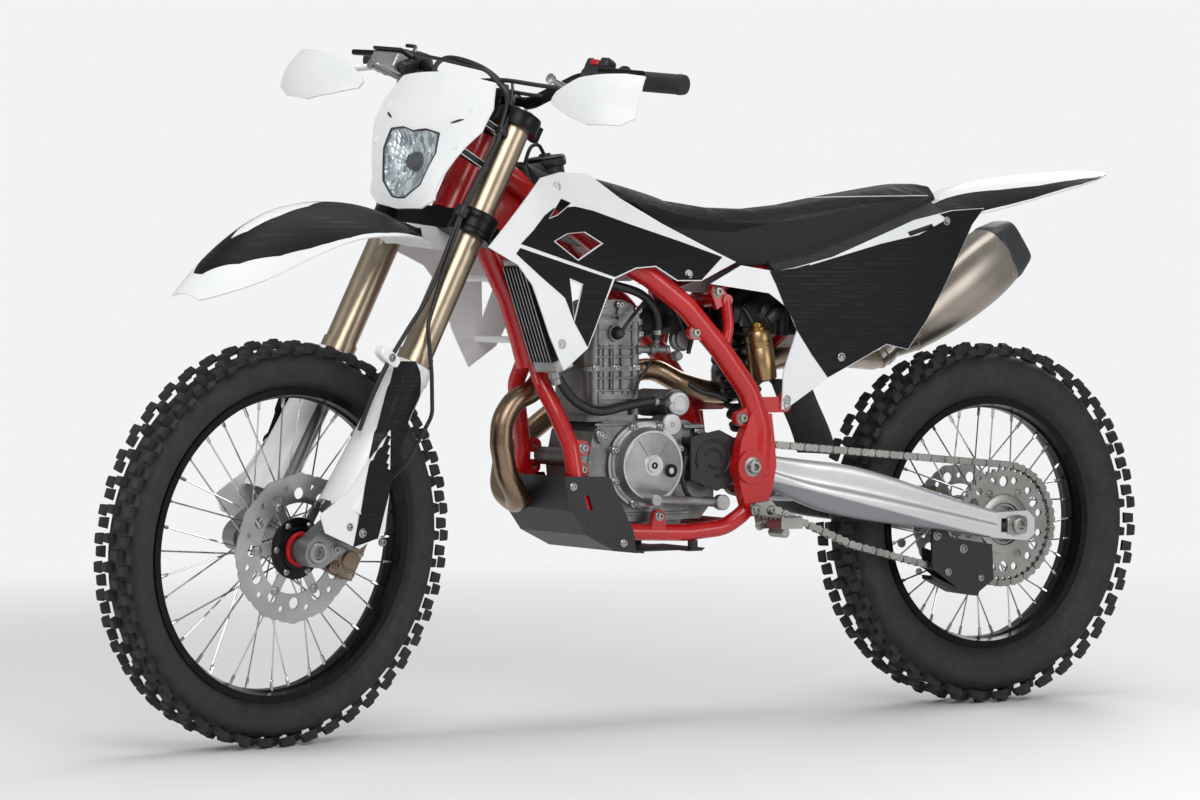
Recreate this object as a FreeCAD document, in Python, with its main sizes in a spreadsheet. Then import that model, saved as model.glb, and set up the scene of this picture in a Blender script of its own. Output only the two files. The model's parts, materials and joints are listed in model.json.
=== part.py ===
import FreeCAD, Part
import math
import os

from FreeCAD import Placement, Rotation, Vector

# Trail motorcycle, 1:1, millimetres. X is forward, Y is the rider's left, Z is up.
# Pieces are drawn with the ground at Z 0 and the rear axle over X 0, and the finished pieces are
# then moved together so that the origin is the rider's place on the seat.

SIZES = {
    "wheelbase": 1500,
    "front_radius": 347,
    "rear_radius": 338,
    "front_tyre_width": 92,
    "rear_tyre_width": 116,
    "front_lug_height": 14,
    "rear_lug_height": 16,
    "front_knob_steps": 72,
    "rear_knob_steps": 64,
    "front_rim_radius": 271,
    "rear_rim_radius": 237,
    "front_rim_width": 52,
    "rear_rim_width": 66,
    "rim_depth": 20,
    "spoke_count": 36,
    "spoke_thickness": 2.6,
    "front_flange_radius": 29,
    "rear_flange_radius": 46,
    "front_flange_spacing": 64,
    "rear_flange_spacing": 68,
    "front_axle_diameter": 22,
    "rear_axle_diameter": 25,
    "front_axle_bore": 14,
    "rear_axle_bore": 17,
    "front_axle_reach": 118,
    "rear_axle_reach": 126,
    "front_disc_diameter": 260,
    "rear_disc_diameter": 220,
    "disc_thickness": 3,
    "front_disc_offset": 57,
    "rear_disc_offset": 62,
    "chain_pitch": 15.875,
    "chain_line": 78,
    "chain_width": 16,
    "chain_height": 14.6,
    "chain_roller_diameter": 10.16,
    "rear_teeth": 44,
    "front_teeth": 13,
    "sprocket_thickness": 5.4,
    "output_shaft_x": 668,
    "output_shaft_z": 478,
    "pivot_x": 602,
    "pivot_z": 461,
    "pivot_diameter": 17,
    "rake": 26.5,
    "clamp_offset": 22,
    "axle_offset": 57,
    "steering_rest": 11.5,
    "fork_spacing": 210,
    "fork_tube_diameter": 56,
    "fork_leg_diameter": 47,
    "fork_tube_bottom": 372,
    "lower_clamp_height": 634,
    "upper_clamp_height": 836,
    "clamp_thickness": 38,
    "upper_clamp_thickness": 28,
    "head_tube_diameter": 62,
    "head_bore_diameter": 48,
    "stem_diameter": 30,
    "frame_tube_diameter": 40,
    "downtube_diameter": 44,
    "cradle_tube_diameter": 30,
    "subframe_tube_diameter": 20,
    "bar_diameter": 28.6,
    "grip_bar_diameter": 22.2,
    "grip_diameter": 34,
    "bar_half_width": 420,
    "header_diameter": 40,
    "silencer_length": 360,
    "seat_point_x": 540,
    "seat_point_z": 922,
    "running_gap": 0.3,
    "panel_thickness": 3,
}

doc = FreeCAD.newDocument("TrailMotorcycle")
sheet = doc.addObject("Spreadsheet::Sheet", "Sizes")
for row, (alias, value) in enumerate(SIZES.items(), start=1):
    sheet.set("A%d" % row, alias)
    sheet.set("B%d" % row, str(value))
    sheet.setAlias("B%d" % row, alias)
doc.recompute()


def size(alias):
    """A driving dimension, read from the sheet."""
    return float(sheet.get(alias))


X_AXIS = Vector(1, 0, 0)
Y_AXIS = Vector(0, 1, 0)
Z_AXIS = Vector(0, 0, 1)
SIDES = (1, -1)
GAP = size("running_gap")

# The steering axis leans back by the rake; the front axle stands ahead of it by the axle offset.
RAKE = math.radians(size("rake"))
FRONT_AXLE = Vector(size("wheelbase"), 0, size("front_radius"))
REAR_AXLE = Vector(0, 0, size("rear_radius"))
STEERING_UP = Vector(-math.sin(RAKE), 0, math.cos(RAKE))
STEERING_FORWARD = Vector(math.cos(RAKE), 0, math.sin(RAKE))
STEERING_FOOT = FRONT_AXLE - STEERING_FORWARD * size("axle_offset")
PIVOT = Vector(size("pivot_x"), 0, size("pivot_z"))
OUTPUT_SHAFT = Vector(size("output_shaft_x"), 0, size("output_shaft_z"))

# Where finished pieces go: the chassis, what turns with the fork but is drawn upright, what is
# drawn in the fork's own raked frame (Z up the steering axis), and the two wheels.
CHASSIS = Placement(Vector(-size("seat_point_x"), 0, -size("seat_point_z")), Rotation())
TURNED = CHASSIS * Placement(Vector(), Rotation(STEERING_UP, size("steering_rest")), STEERING_FOOT)
FORK = TURNED * Placement(STEERING_FOOT, Rotation(Y_AXIS, -size("rake")))
FRONT_WHEEL = TURNED * Placement(FRONT_AXLE, Rotation())
REAR_WHEEL = CHASSIS * Placement(REAR_AXLE, Rotation())

nodes = []


def keep(node, label, placement):
    """Names a finished sub-part and puts it in its place."""
    node.Label = label
    node.Placement = placement
    nodes.append(node)


def keep_shape(label, shape, placement):
    """A sub-part whose form is worked out here from the sheet's sizes."""
    node = doc.addObject("Part::Feature", label)
    node.Shape = shape
    keep(node, label, placement)


def named(label):
    """A finished sub-part, as it stands in its own drawing frame."""
    return next(node for node in nodes if node.Label == label)


def bind(node, **cells):
    """Ties properties to the sheet; an underscore in a name stands for a dot."""
    for name, text in cells.items():
        node.setExpression(name.replace("_", "."), text)


# Shapes that many pieces are made from.


def polygon_face(points):
    """A flat face inside straight edges."""
    return Part.Face(Part.makePolygon(points + [points[0]]))


def side_plate(outline, inner, outer):
    """An outline of (x, z) pairs, drawn from the side and run from Y inner to Y outer."""
    points = [Vector(x, inner, z) for x, z in outline]
    return polygon_face(points).extrude(Vector(0, outer - inner, 0))


def front_plate(outline, back, front):
    """An outline of (y, z) pairs, drawn from ahead and run from X back to X front."""
    points = [Vector(back, y, z) for y, z in outline]
    return polygon_face(points).extrude(Vector(front - back, 0, 0))


def top_plate(outline, bottom, top):
    """An outline of (x, y) pairs, drawn from above and run from Z bottom to Z top."""
    points = [Vector(x, y, bottom) for x, y in outline]
    return polygon_face(points).extrude(Vector(0, 0, top - bottom))


def across(radius, inner, outer, x=0, z=0):
    """A round bar along Y between two Y values."""
    return Part.makeCylinder(radius, outer - inner, Vector(x, inner, z), Y_AXIS)


def rod(start, end, radius):
    """A round bar between two points."""
    return Part.makeCylinder(radius, (end - start).Length, start, end - start)


def mirrored(shape):
    """The same piece on the bike's right side."""
    return shape.mirror(Vector(), Y_AXIS)


def pair(shape):
    """A left piece and its right twin, which don't touch."""
    return Part.makeCompound([shape, mirrored(shape)])


def joined(shapes):
    """One solid from pieces that meet."""
    return shapes[0].multiFuse(shapes[1:]).removeSplitter()


def rounded_path(points, bend_radius):
    """Straight runs between the points, with each corner an arc tangent to both runs."""
    edges = []
    start = points[0]
    for before, corner, after in zip(points, points[1:], points[2:]):
        back = (before - corner).normalize()
        ahead = (after - corner).normalize()
        half_turn = (math.pi - back.getAngle(ahead)) / 2
        run = min((before - corner).Length, (after - corner).Length)
        setback = min(bend_radius * math.tan(half_turn), 0.48 * run)
        radius = setback / math.tan(half_turn)
        arc_start = corner + back * setback
        arc_end = corner + ahead * setback
        middle_way = (back + ahead).normalize()
        to_centre = radius / math.cos(half_turn)
        arc_middle = corner + middle_way * (to_centre - radius)
        edges.append(Part.makeLine(start, arc_start))
        edges.append(Part.Arc(arc_start, arc_middle, arc_end).toShape())
        start = arc_end
    edges.append(Part.makeLine(start, points[-1]))
    return Part.Wire(edges)


def bent_bar(points, bend_radius, radius):
    """A round bar or hose along a bent path."""
    path = rounded_path(points, bend_radius)
    way = points[1] - points[0]
    circle = Part.Wire(Part.makeCircle(radius, points[0], way))
    return path.makePipeShell([circle], True, False)


def ring(profile):
    """A closed profile of (radius, y) pairs turned about the Y axis."""
    points = [Vector(radius, y, 0) for radius, y in profile]
    return polygon_face(points).revolve(Vector(), Y_AXIS, 360)


def loft(sections):
    """A solid through closed sections."""
    return Part.makeLoft(sections, True, False)


def oval_section(centre, half_width, half_height, squareness=2.6, count=16, lean=0):
    """A rounded-square closed curve across X: |y/w|^n + |z/h|^n = 1, leaned about Y in degrees."""
    points = []
    for step in range(count):
        turn = 2 * math.pi * step / count
        y = half_width * math.copysign(abs(math.cos(turn)) ** (2 / squareness), math.cos(turn))
        z = half_height * math.copysign(abs(math.sin(turn)) ** (2 / squareness), math.sin(turn))
        points.append(centre + Rotation(Y_AXIS, lean).multVec(Vector(0, y, z)))
    curve = Part.BSplineCurve()
    curve.interpolate(points, PeriodicFlag=True)
    return Part.Wire(curve.toShape())


def spread(first, last, count):
    """Evenly spaced values from first to last."""
    return [first + (last - first) * step / (count - 1) for step in range(count)]


def moulded_sheet(rows, thickness):
    """A smooth sheet through rows of points, thickened on its inner side."""
    surface = Part.BSplineSurface()
    surface.interpolate(rows)
    return surface.toShape().makeOffsetShape(thickness, 0.01, fill=True)


def largest(shape):
    """The main solid of a trimmed shape."""
    return max(shape.Solids, key=lambda solid: solid.Volume)


# Wheels. Each is drawn about its own centre, with its axle along Y.


def both_halves(half_section):
    """A whole section from its left half, given from the bead up to the middle."""
    return half_section + [(radius, -y) for radius, y in reversed(half_section)]


def tyre(radius, width, rim_radius, rim_width, lug_height, step_count):
    """A knobbly tyre of flat facets: side knobs and centre knobs take turns round the wheel."""
    half = width / 2
    base = radius - lug_height
    wall_height = radius - rim_radius
    wall = [(rim_radius + GAP, rim_width / 2 - 4), (rim_radius + wall_height * 0.42, half * 0.93),
            (base - lug_height * 0.8, half * 0.9)]
    side_knob = [(base - lug_height * 0.6, half), (base + lug_height * 0.5, half * 0.92),
                 (radius - lug_height * 0.22, half * 0.56)]
    groove = [(base - lug_height * 0.1, half * 0.5), (base, half * 0.36)]
    centre_knob = [(radius, half * 0.3)]
    side_wall = [wall[-1]] + side_knob + [groove[0]]
    walls = [side_wall, [(r, -y) for r, y in side_wall], both_halves([groove[1]] + centre_knob)]
    with_sides = both_halves(wall + side_knob + groove)
    with_centre = both_halves(wall + groove + centre_knob)

    def place(point, step):
        turn = 2 * math.pi * (step % step_count) / step_count
        return Vector(point[0] * math.cos(turn), point[1], point[0] * math.sin(turn))

    faces = []
    for step in range(step_count):
        section = with_sides if step % 2 else with_centre
        for here, there in zip(section, section[1:] + section[:1]):
            faces.append(polygon_face([place(here, step), place(there, step),
                                       place(there, step + 1), place(here, step + 1)]))
        faces += [polygon_face([place(point, step) for point in outline]) for outline in walls]
    return Part.Solid(Part.Shell(faces))


def rim(radius, width):
    """A drop-centre rim: two flanges, the bead seats and the well that takes the spokes."""
    depth = size("rim_depth")
    half = width / 2
    wall = 3
    lip = 4
    profile = [
        (radius, -half), (radius, -half + lip), (radius - 11, -half + lip),
        (radius - 13, -half * 0.42), (radius - depth + wall, -half * 0.3),
        (radius - depth + wall, half * 0.3), (radius - 13, half * 0.42),
        (radius - 11, half - lip), (radius, half - lip), (radius, half),
        (radius - 13, half - 1), (radius - 16, half * 0.5), (radius - depth, half * 0.3),
        (radius - depth, -half * 0.3), (radius - 16, -half * 0.5), (radius - 13, -half + 1),
    ]
    return ring(profile)


def square_bar(start, end, thickness):
    """A straight bar with a square section."""
    way = end - start
    bar = Part.makeBox(thickness, thickness, way.Length, Vector(-thickness / 2, -thickness / 2, 0))
    bar.Placement = Placement(start, Rotation(Z_AXIS, way))
    return bar


def spokes(rim_radius, flange_radius, flange_spacing):
    """Cross-laced spokes: each pair on a flange leaves it in opposite directions."""
    count = int(size("spoke_count"))
    thickness = size("spoke_thickness")
    outer = rim_radius - size("rim_depth") - GAP - 1
    inner = flange_radius + GAP + 1
    sweep = math.radians(62)
    bars = []
    for index in range(count):
        side = 1 if index % 2 else -1
        heads_out = 1 if (index // 2) % 2 else -1
        rim_turn = 2 * math.pi * index / count
        hub_turn = rim_turn + heads_out * sweep
        hub_y = side * (flange_spacing / 2) + heads_out * 3
        rim_y = side * 5 + heads_out * 2.2
        start = Vector(inner * math.cos(hub_turn), hub_y, inner * math.sin(hub_turn))
        end = Vector(outer * math.cos(rim_turn), rim_y, outer * math.sin(rim_turn))
        bars.append(square_bar(start, end, thickness))
    return Part.makeCompound(bars)


def hub(label, placement, flange, spacing, axle, body_radius, left_end, right_end):
    """A turned hub: barrel, two spoke flanges and the axle's bore, bound to the sheet."""
    barrel = doc.addObject("Part::Cylinder", label + "_barrel")
    barrel.Radius = body_radius
    barrel.Height = left_end - right_end
    barrel.Placement = Placement(Vector(0, right_end, 0), Rotation(X_AXIS, -90))
    pieces = [barrel]
    for side in SIDES:
        disc = doc.addObject("Part::Cylinder", label + "_flange")
        bind(disc, Radius="Sizes." + flange)
        disc.Height = 9
        disc.Placement = Placement(Vector(0, 0, 0), Rotation(X_AXIS, -90))
        sign = "" if side > 0 else "-"
        disc.setExpression("Placement.Base.y", "%sSizes.%s / 2 - 4.5" % (sign, spacing))
        pieces.append(disc)
    body = doc.addObject("Part::MultiFuse", label + "_body")
    body.Shapes = pieces
    bore = doc.addObject("Part::Cylinder", label + "_bore")
    bind(bore, Radius="Sizes.%s / 2 + Sizes.running_gap" % axle)
    bore.Height = left_end - right_end + 20
    bore.Placement = Placement(Vector(0, right_end - 10, 0), Rotation(X_AXIS, -90))
    cut = doc.addObject("Part::Cut", label)
    cut.Base = body
    cut.Tool = bore
    keep(cut, label, placement)


def wave_disc(diameter, offset, bore_radius, waves, side):
    """A brake disc with a wavy edge, its bore, a ring of slots and the carrier's bolt holes."""
    radius = diameter / 2
    thickness = size("disc_thickness")
    inner = side * offset - thickness / 2
    outer = side * offset + thickness / 2
    disc = across(radius - 3, inner, outer)
    crests = []
    notches = []
    for index in range(waves):
        turn = 2 * math.pi * index / waves
        crests.append(across(19, inner, outer, (radius - 19) * math.cos(turn),
                             (radius - 19) * math.sin(turn)))
        between = turn + math.pi / waves
        notches.append(across(11, inner, outer, (radius + 6) * math.cos(between),
                              (radius + 6) * math.sin(between)))
        notches.append(across(5, inner, outer, (radius - 24) * math.cos(between),
                              (radius - 24) * math.sin(between)))
        notches.append(across(10, inner, outer, (bore_radius + 16) * math.cos(turn),
                              (bore_radius + 16) * math.sin(turn)))
    notches.append(across(bore_radius, inner, outer))
    return disc.multiFuse(crests).cut(notches).removeSplitter()


def build_wheels():
    front = size("front_radius")
    rear = size("rear_radius")
    front_rim = size("front_rim_radius")
    rear_rim = size("rear_rim_radius")
    keep_shape("front_tyre", tyre(front, size("front_tyre_width"), front_rim,
                                  size("front_rim_width"), size("front_lug_height"),
                                  int(size("front_knob_steps"))), FRONT_WHEEL)
    keep_shape("rear_tyre", tyre(rear, size("rear_tyre_width"), rear_rim,
                                 size("rear_rim_width"), size("rear_lug_height"),
                                 int(size("rear_knob_steps"))), REAR_WHEEL)
    keep_shape("front_rim", rim(front_rim, size("front_rim_width")), FRONT_WHEEL)
    keep_shape("rear_rim", rim(rear_rim, size("rear_rim_width")), REAR_WHEEL)
    keep_shape("front_spokes", spokes(front_rim, size("front_flange_radius"),
                                      size("front_flange_spacing")), FRONT_WHEEL)
    keep_shape("rear_spokes", spokes(rear_rim, size("rear_flange_radius"),
                                     size("rear_flange_spacing")), REAR_WHEEL)
    hub("front_hub", FRONT_WHEEL, "front_flange_radius", "front_flange_spacing",
        "front_axle_diameter", 26, 60, -54)
    hub("rear_hub", REAR_WHEEL, "rear_flange_radius", "rear_flange_spacing",
        "rear_axle_diameter", 34, 70, -66)


def disc_with_carrier(label, placement, diameter, offset, bore_radius, waves, side, hub_radius):
    """The disc and the spider that bolts it to the hub."""
    thickness = size("disc_thickness")
    disc = wave_disc(diameter, offset, bore_radius, waves, side)
    inner = side * offset - thickness / 2
    outer = side * offset + thickness / 2
    arms = [across(hub_radius + 14, inner, outer)]
    for index in range(6):
        turn = 2 * math.pi * index / 6
        tip = Vector((bore_radius + 4) * math.cos(turn), inner, (bore_radius + 4) * math.sin(turn))
        arm = side_plate([(hub_radius, -9), (bore_radius + 5, -9), (bore_radius + 5, 9),
                          (hub_radius, 9)], inner, outer)
        arm.rotate(Vector(), Y_AXIS, -math.degrees(turn))
        arms.append(arm)
        arms.append(across(9, inner, outer, tip.x, tip.z))
    whole = joined([disc] + arms).cut(across(hub_radius + GAP, inner - 1, outer + 1))
    keep_shape(label, largest(whole), placement)


def build_discs():
    disc_with_carrier("front_disc", FRONT_WHEEL, size("front_disc_diameter"),
                      size("front_disc_offset"), 78, 12, 1, 26)
    disc_with_carrier("rear_disc", REAR_WHEEL, size("rear_disc_diameter"),
                      size("rear_disc_offset"), 70, 10, -1, 34)


def pitch_radius(teeth):
    """The circle that the chain's pins follow round a sprocket."""
    return size("chain_pitch") / (2 * math.sin(math.pi / teeth))


def sprocket(teeth, thickness, bore_radius):
    """A sprocket drawn about its own centre; its teeth end under the chain's rollers."""
    pitch = pitch_radius(teeth)
    tip = pitch - size("chain_roller_diameter") / 2 - 0.6
    root = tip - 6
    points = []
    for index in range(teeth):
        middle = 2 * math.pi * (index + 0.5) / teeth
        for shift, radius in ((-0.36, root), (-0.14, tip), (0.14, tip), (0.36, root)):
            turn = middle + shift * 2 * math.pi / teeth
            points.append((radius * math.cos(turn), radius * math.sin(turn)))
    half = thickness / 2
    return side_plate(points, -half, half).cut(across(bore_radius, -half, half))


def build_rear_sprocket():
    teeth = int(size("rear_teeth"))
    plate = sprocket(teeth, size("sprocket_thickness"), 34 + GAP)
    cuts = []
    for index in range(6):
        turn = 2 * math.pi * (index + 0.5) / 6
        for shift, reach, radius in ((0, 80, 10), (0.3, 84, 7), (-0.3, 84, 7)):
            angle = turn + shift
            cuts.append(across(radius, -10, 10, reach * math.cos(angle), reach * math.sin(angle)))
    shape = plate.cut(cuts)
    shape.translate(Vector(0, size("chain_line"), 0))
    carrier = across(58, 70 + GAP, size("chain_line") - size("sprocket_thickness") / 2)
    shape = joined([shape, carrier.cut(across(34 + GAP, 60, 90))])
    keep_shape("rear_sprocket", shape, REAR_WHEEL)


def build_axles():
    """Both axles are hollow bars, tied to the sheet."""
    for label, placement in (("front_axle", FRONT_WHEEL), ("rear_axle", REAR_WHEEL)):
        bar = doc.addObject("Part::Cylinder", label + "_bar")
        bind(bar, Radius="Sizes.%s_diameter / 2" % label, Height="2 * Sizes.%s_reach" % label)
        hollow = doc.addObject("Part::Cylinder", label + "_hollow")
        bind(hollow, Radius="Sizes.%s_bore / 2" % label, Height="2 * Sizes.%s_reach" % label)
        axle = doc.addObject("Part::Cut", label)
        axle.Base = bar
        axle.Tool = hollow
        start = Placement(Vector(0, -size(label + "_reach"), 0), Rotation(X_AXIS, -90))
        keep(axle, label, placement * start)


# Frame.


def steering_point(height, side=0, forward=0):
    """A point in the bike's frame, given up the steering axis, to the side and ahead of it."""
    return STEERING_FOOT + STEERING_UP * height + STEERING_FORWARD * forward + Y_AXIS * side


HEAD_BOTTOM = size("lower_clamp_height") + size("clamp_thickness") / 2 + 9
HEAD_TOP = size("upper_clamp_height") - size("upper_clamp_thickness") / 2 - 10


def head_tube():
    return rod(steering_point(HEAD_BOTTOM), steering_point(HEAD_TOP), size("head_tube_diameter") / 2)


def head_bore():
    return rod(steering_point(HEAD_BOTTOM - 20), steering_point(HEAD_TOP + 20),
               size("head_bore_diameter") / 2)


def upper_line(side):
    """The spar's line from the head, over the engine and down behind it."""
    return [steering_point(775, 14 * side, -18)] + [
        Vector(x, y * side, z) for x, y, z in (
            (1010, 26, 957), (930, 44, 897), (862, 78, 838), (800, 98, 803), (728, 104, 750),
            (655, 107, 672), (596, 110, 596), (572, 112, 530), (576, 112, 455))]


def cradle_line():
    """The left cradle's line, from below the pivot forward and up to the downtube."""
    return [Vector(x, y, z) for x, y, z in (
        (576, 112, 455), (592, 108, 385), (640, 98, 352), (720, 94, 345), (840, 92, 350),
        (925, 92, 378), (950, 92, 450), (954, 82, 505), (972, 66, 560), (990, 46, 612), (988, 14, 660))]


def perimeter_tube():
    """The left spar and cradle tube, met in a collar behind the engine."""
    upper = bent_bar(upper_line(1), 90, size("frame_tube_diameter") / 2)
    lower = bent_bar(cradle_line(), 70, size("cradle_tube_diameter") / 2)
    collar = Part.makeSphere(size("frame_tube_diameter") / 2, cradle_line()[0])
    return [upper, lower, collar]


def downtube():
    points = [steering_point(712, 0, -22), Vector(1070, 0, 842), Vector(1028, 0, 762),
              Vector(1003, 0, 690), Vector(990, 0, 645)]
    return bent_bar(points, 120, size("downtube_diameter") / 2)


PIVOT_PLATE = [(556, 556), (600, 556), (622, 505), (630, 462), (622, 420), (606, 372),
               (575, 372), (556, 415), (546, 462), (550, 510)]


def pivot_plate():
    plate = side_plate(PIVOT_PLATE, 102, 126)
    boss = across(30, 100, 132, PIVOT.x, PIVOT.z)
    return joined([plate, boss])


def frame_lug(x, z, reach_x, reach_z, inner, outer, radius):
    """An ear with an eye, running back to the tube that carries it."""
    way = Vector(reach_x - x, 0, reach_z - z)
    side = Vector(-way.z, 0, way.x).normalize() * radius
    outline = [(x + side.x, z + side.z), (x - side.x, z - side.z),
               (reach_x - side.x, reach_z - side.z), (reach_x + side.x, reach_z + side.z)]
    plate = side_plate(outline, inner, outer)
    eye = across(radius, inner, outer, x, z)
    return plate.fuse(eye).cut(across(radius * 0.42, inner - 1, outer + 1, x, z))


def build_main_frame():
    left = perimeter_tube() + [pivot_plate()]
    left.append(bent_bar([Vector(648, 106, 660), Vector(636, 106, 712), Vector(640, 102, 758)],
                         60, size("subframe_tube_diameter") / 2))
    left.append(frame_lug(596, 760, 634, 760, 14 + GAP, 22, 13))
    left.append(frame_lug(517, 571, 585, 571, 100, 110, 14))
    left.append(frame_lug(930, 500, 960, 505, 78, 88, 13))
    left.append(frame_lug(932, 462, 962, 462, 78, 88, 13))
    right = [mirrored(piece) for piece in left]
    cross_top = across(10, -110, 110, 640, 760)
    cross_bottom = across(13, -100, 100, 632, 356)
    gusset = side_plate([(1088, 905), (1128, 950), (1060, 985), (985, 940), (1030, 838)], -9, 9)
    whole = joined([head_tube(), downtube(), cross_top, cross_bottom, gusset] + left + right)
    pivot_hole = across(size("pivot_diameter") / 2 + GAP, -150, 150, PIVOT.x, PIVOT.z)
    keep_shape("main_frame", largest(whole.cut([head_bore(), pivot_hole])), CHASSIS)


def build_subframe():
    """The tail tubes that carry the seat, side panels and rear fender."""
    tube = size("subframe_tube_diameter") / 2
    upper = bent_bar([Vector(641, 80, 785), Vector(540, 76, 822), Vector(342, 70, 866),
                      Vector(110, 52, 900)], 90, tube)
    lower = bent_bar([Vector(517, 89.6, 571), Vector(450, 88, 640), Vector(260, 66, 820),
                      Vector(125, 54, 890)], 90, tube)
    left = [upper, lower]
    right = [mirrored(piece) for piece in left]
    rear_tie = across(tube, -54, 54, 118, 897)
    middle_tie = across(tube, -74, 74, 342, 873.4)
    keep_shape("subframe", joined(left + right + [rear_tie, middle_tie]), CHASSIS)


# Engine.


def build_crankcase():
    outline = [(906, 405), (912, 470), (900, 528), (880, 545), (700, 545), (652, 520),
               (641, 480), (641, 400), (670, 368), (860, 366)]
    case = side_plate(outline, -72, 72)
    sprocket_room = side_plate([(600, 360), (714, 360), (714, 560), (600, 560)], 64, 80)
    belly = side_plate([(860, 384), (690, 384), (720, 350), (830, 350)], -58, 58)
    mount_front = across(16, -70, 70, 922, 482)
    pads = [across(13, 60, 80, x, z) for x, z in ((884, 520), (890, 430), (700, 402))]
    starter = [across(25, -40, 66, 723, 575), across(18, 66, 74, 723, 575),
               across(22, 40, 72, 742, 534), across(14, 72, 78, 740, 538)]
    whole = joined([case, belly, mount_front] + pads + starter).cut(sprocket_room)
    keep_shape("crankcase", largest(whole), CHASSIS)


def rounded_box(x0, x1, half_width, z0, z1, corner):
    """An upright block with rounded vertical corners."""
    box = Part.makeBox(x1 - x0, 2 * half_width, z1 - z0, Vector(x0, -half_width, z0))
    upright = [edge for edge in box.Edges if abs(edge.tangentAt(0).z) > 0.99]
    return box.makeFillet(corner, upright)


def build_cylinder():
    """Cylinder, water jacket, head and cam cover of a single."""
    foot = rounded_box(792, 908, 62, 545 + GAP, 556, 20)
    barrel = rounded_box(800, 900, 56, 550, 640, 22)
    jacket = rounded_box(794, 905, 61, 584, 686, 18)
    deck = rounded_box(786, 910, 65, 634, 642, 14)
    head = rounded_box(788, 908, 60, 686, 724, 14)
    lid = rounded_box(784, 906, 62, 716, 726, 12)
    arch = side_plate([(788, 724), (794, 741), (808, 754), (830, 761), (860, 761), (882, 752),
                       (896, 738), (900, 724)], -50, 50)
    cam_ends = [across(17, -56, 56, x, 736) for x in (822, 870)]
    columns = [Part.makeCylinder(9, 166, Vector(x, side * 57, 556), Z_AXIS)
               for x in (806, 890) for side in SIDES]
    ribs = [side_plate([(x, 594), (x + 5, 594), (x + 5, 680), (x, 680)], 58, 64)
            for x in (828, 848, 868)]
    exhaust_port = rod(Vector(900, 0, 690), Vector(926, 0, 664), 25)
    inlet_port = rod(Vector(800, 0, 700), Vector(770, 0, 712), 25)
    plug_tunnel = across(15, 40, 67, 848, 702)
    whole = [foot, barrel, jacket, deck, head, lid, arch, exhaust_port, inlet_port, plug_tunnel]
    keep_shape("cylinder", joined(whole + cam_ends + columns + ribs), CHASSIS)


def build_side_covers():
    """The silver ignition cover on the left and the clutch cover on the right."""
    crank = Vector(795, 72 + GAP, 467)
    flange = Part.makeCylinder(73, 12, crank, Y_AXIS)
    wall = Part.makeCone(68, 62, 20, crank + Vector(0, 12, 0), Y_AXIS)
    hub_cap = Part.makeCylinder(13, 5, crank + Vector(0, 32, 0), Y_AXIS)
    plug = Part.makeCylinder(11, 6, crank + Vector(-36, 30, -10), Y_AXIS)
    ears = []
    for index in range(8):
        turn = 2 * math.pi * (index + 0.5) / 8
        ears.append(Part.makeCylinder(8, 14, crank + Vector(73 * math.cos(turn), 0,
                                                            73 * math.sin(turn)), Y_AXIS))
    keep_shape("ignition_cover", joined([flange, wall, hub_cap, plug] + ears), CHASSIS)
    clutch = Vector(742, -72 - GAP, 474)
    drum = Part.makeCylinder(76, 22, clutch, Vector(0, -1, 0))
    face = Part.makeCone(72, 60, 16, clutch + Vector(0, -22, 0), Vector(0, -1, 0))
    side = Part.makeCylinder(48, 20, clutch + Vector(82, 0, -6), Vector(0, -1, 0))
    keep_shape("clutch_cover", joined([drum, face, side]), CHASSIS)


AIRBOX_FRONT = 500


def build_throttle_body():
    """Throttle body behind the head, its inlet rubber, and the boot past the shock."""
    inlet = rod(Vector(769, 0, 712.5), Vector(742, 0, 722), 24)
    body = rod(Vector(742, 0, 722), Vector(690, 0, 740), 31)
    boot = bent_bar([Vector(694, 0, 738), Vector(662, -10, 724), Vector(620, -54, 719),
                     Vector(560, -58, 744), Vector(470, -34, 790)], 40, 20)
    boot = boot.cut(side_plate([(300, 600), (AIRBOX_FRONT + GAP, 600), (AIRBOX_FRONT + GAP, 900),
                                (300, 900)], -90, 90))
    motor = across(17, 20, 60, 716, 716)
    keep_shape("throttle_body", joined([inlet, body, boot, motor]), CHASSIS)


def build_airbox():
    """The air filter's box under the seat, between the subframe's tubes."""
    outline = [(AIRBOX_FRONT, 700), (AIRBOX_FRONT, 844), (420, 850), (300, 858), (252, 850),
               (270, 800), (340, 732), (410, 694)]
    box = side_plate(outline, -54, 54)
    lid = side_plate([(470, 730), (470, 820), (340, 834), (330, 790), (370, 748)], 54, 58)
    keep_shape("airbox", joined([box, lid]), CHASSIS)


def build_sprocket_cover():
    """The black cover outside the front sprocket, on stand-offs from the crankcase."""
    outline = [(712, 515), (650, 527), (618, 512), (612, 440), (655, 418), (712, 440)]
    plate = side_plate(outline, 92, 99)
    posts = [across(6, 64 + GAP, 93, x, z) for x, z in ((707, 508), (707, 442))]
    keep_shape("sprocket_cover", joined([plate] + posts), CHASSIS)
    shaft = across(12, 64 + GAP, 86, OUTPUT_SHAFT.x, OUTPUT_SHAFT.z)
    small = sprocket(int(size("front_teeth")), size("sprocket_thickness"), 11)
    small.translate(Vector(OUTPUT_SHAFT.x, size("chain_line"), OUTPUT_SHAFT.z))
    keep_shape("front_sprocket", joined([small, shaft]), CHASSIS)


# Chain.


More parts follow.
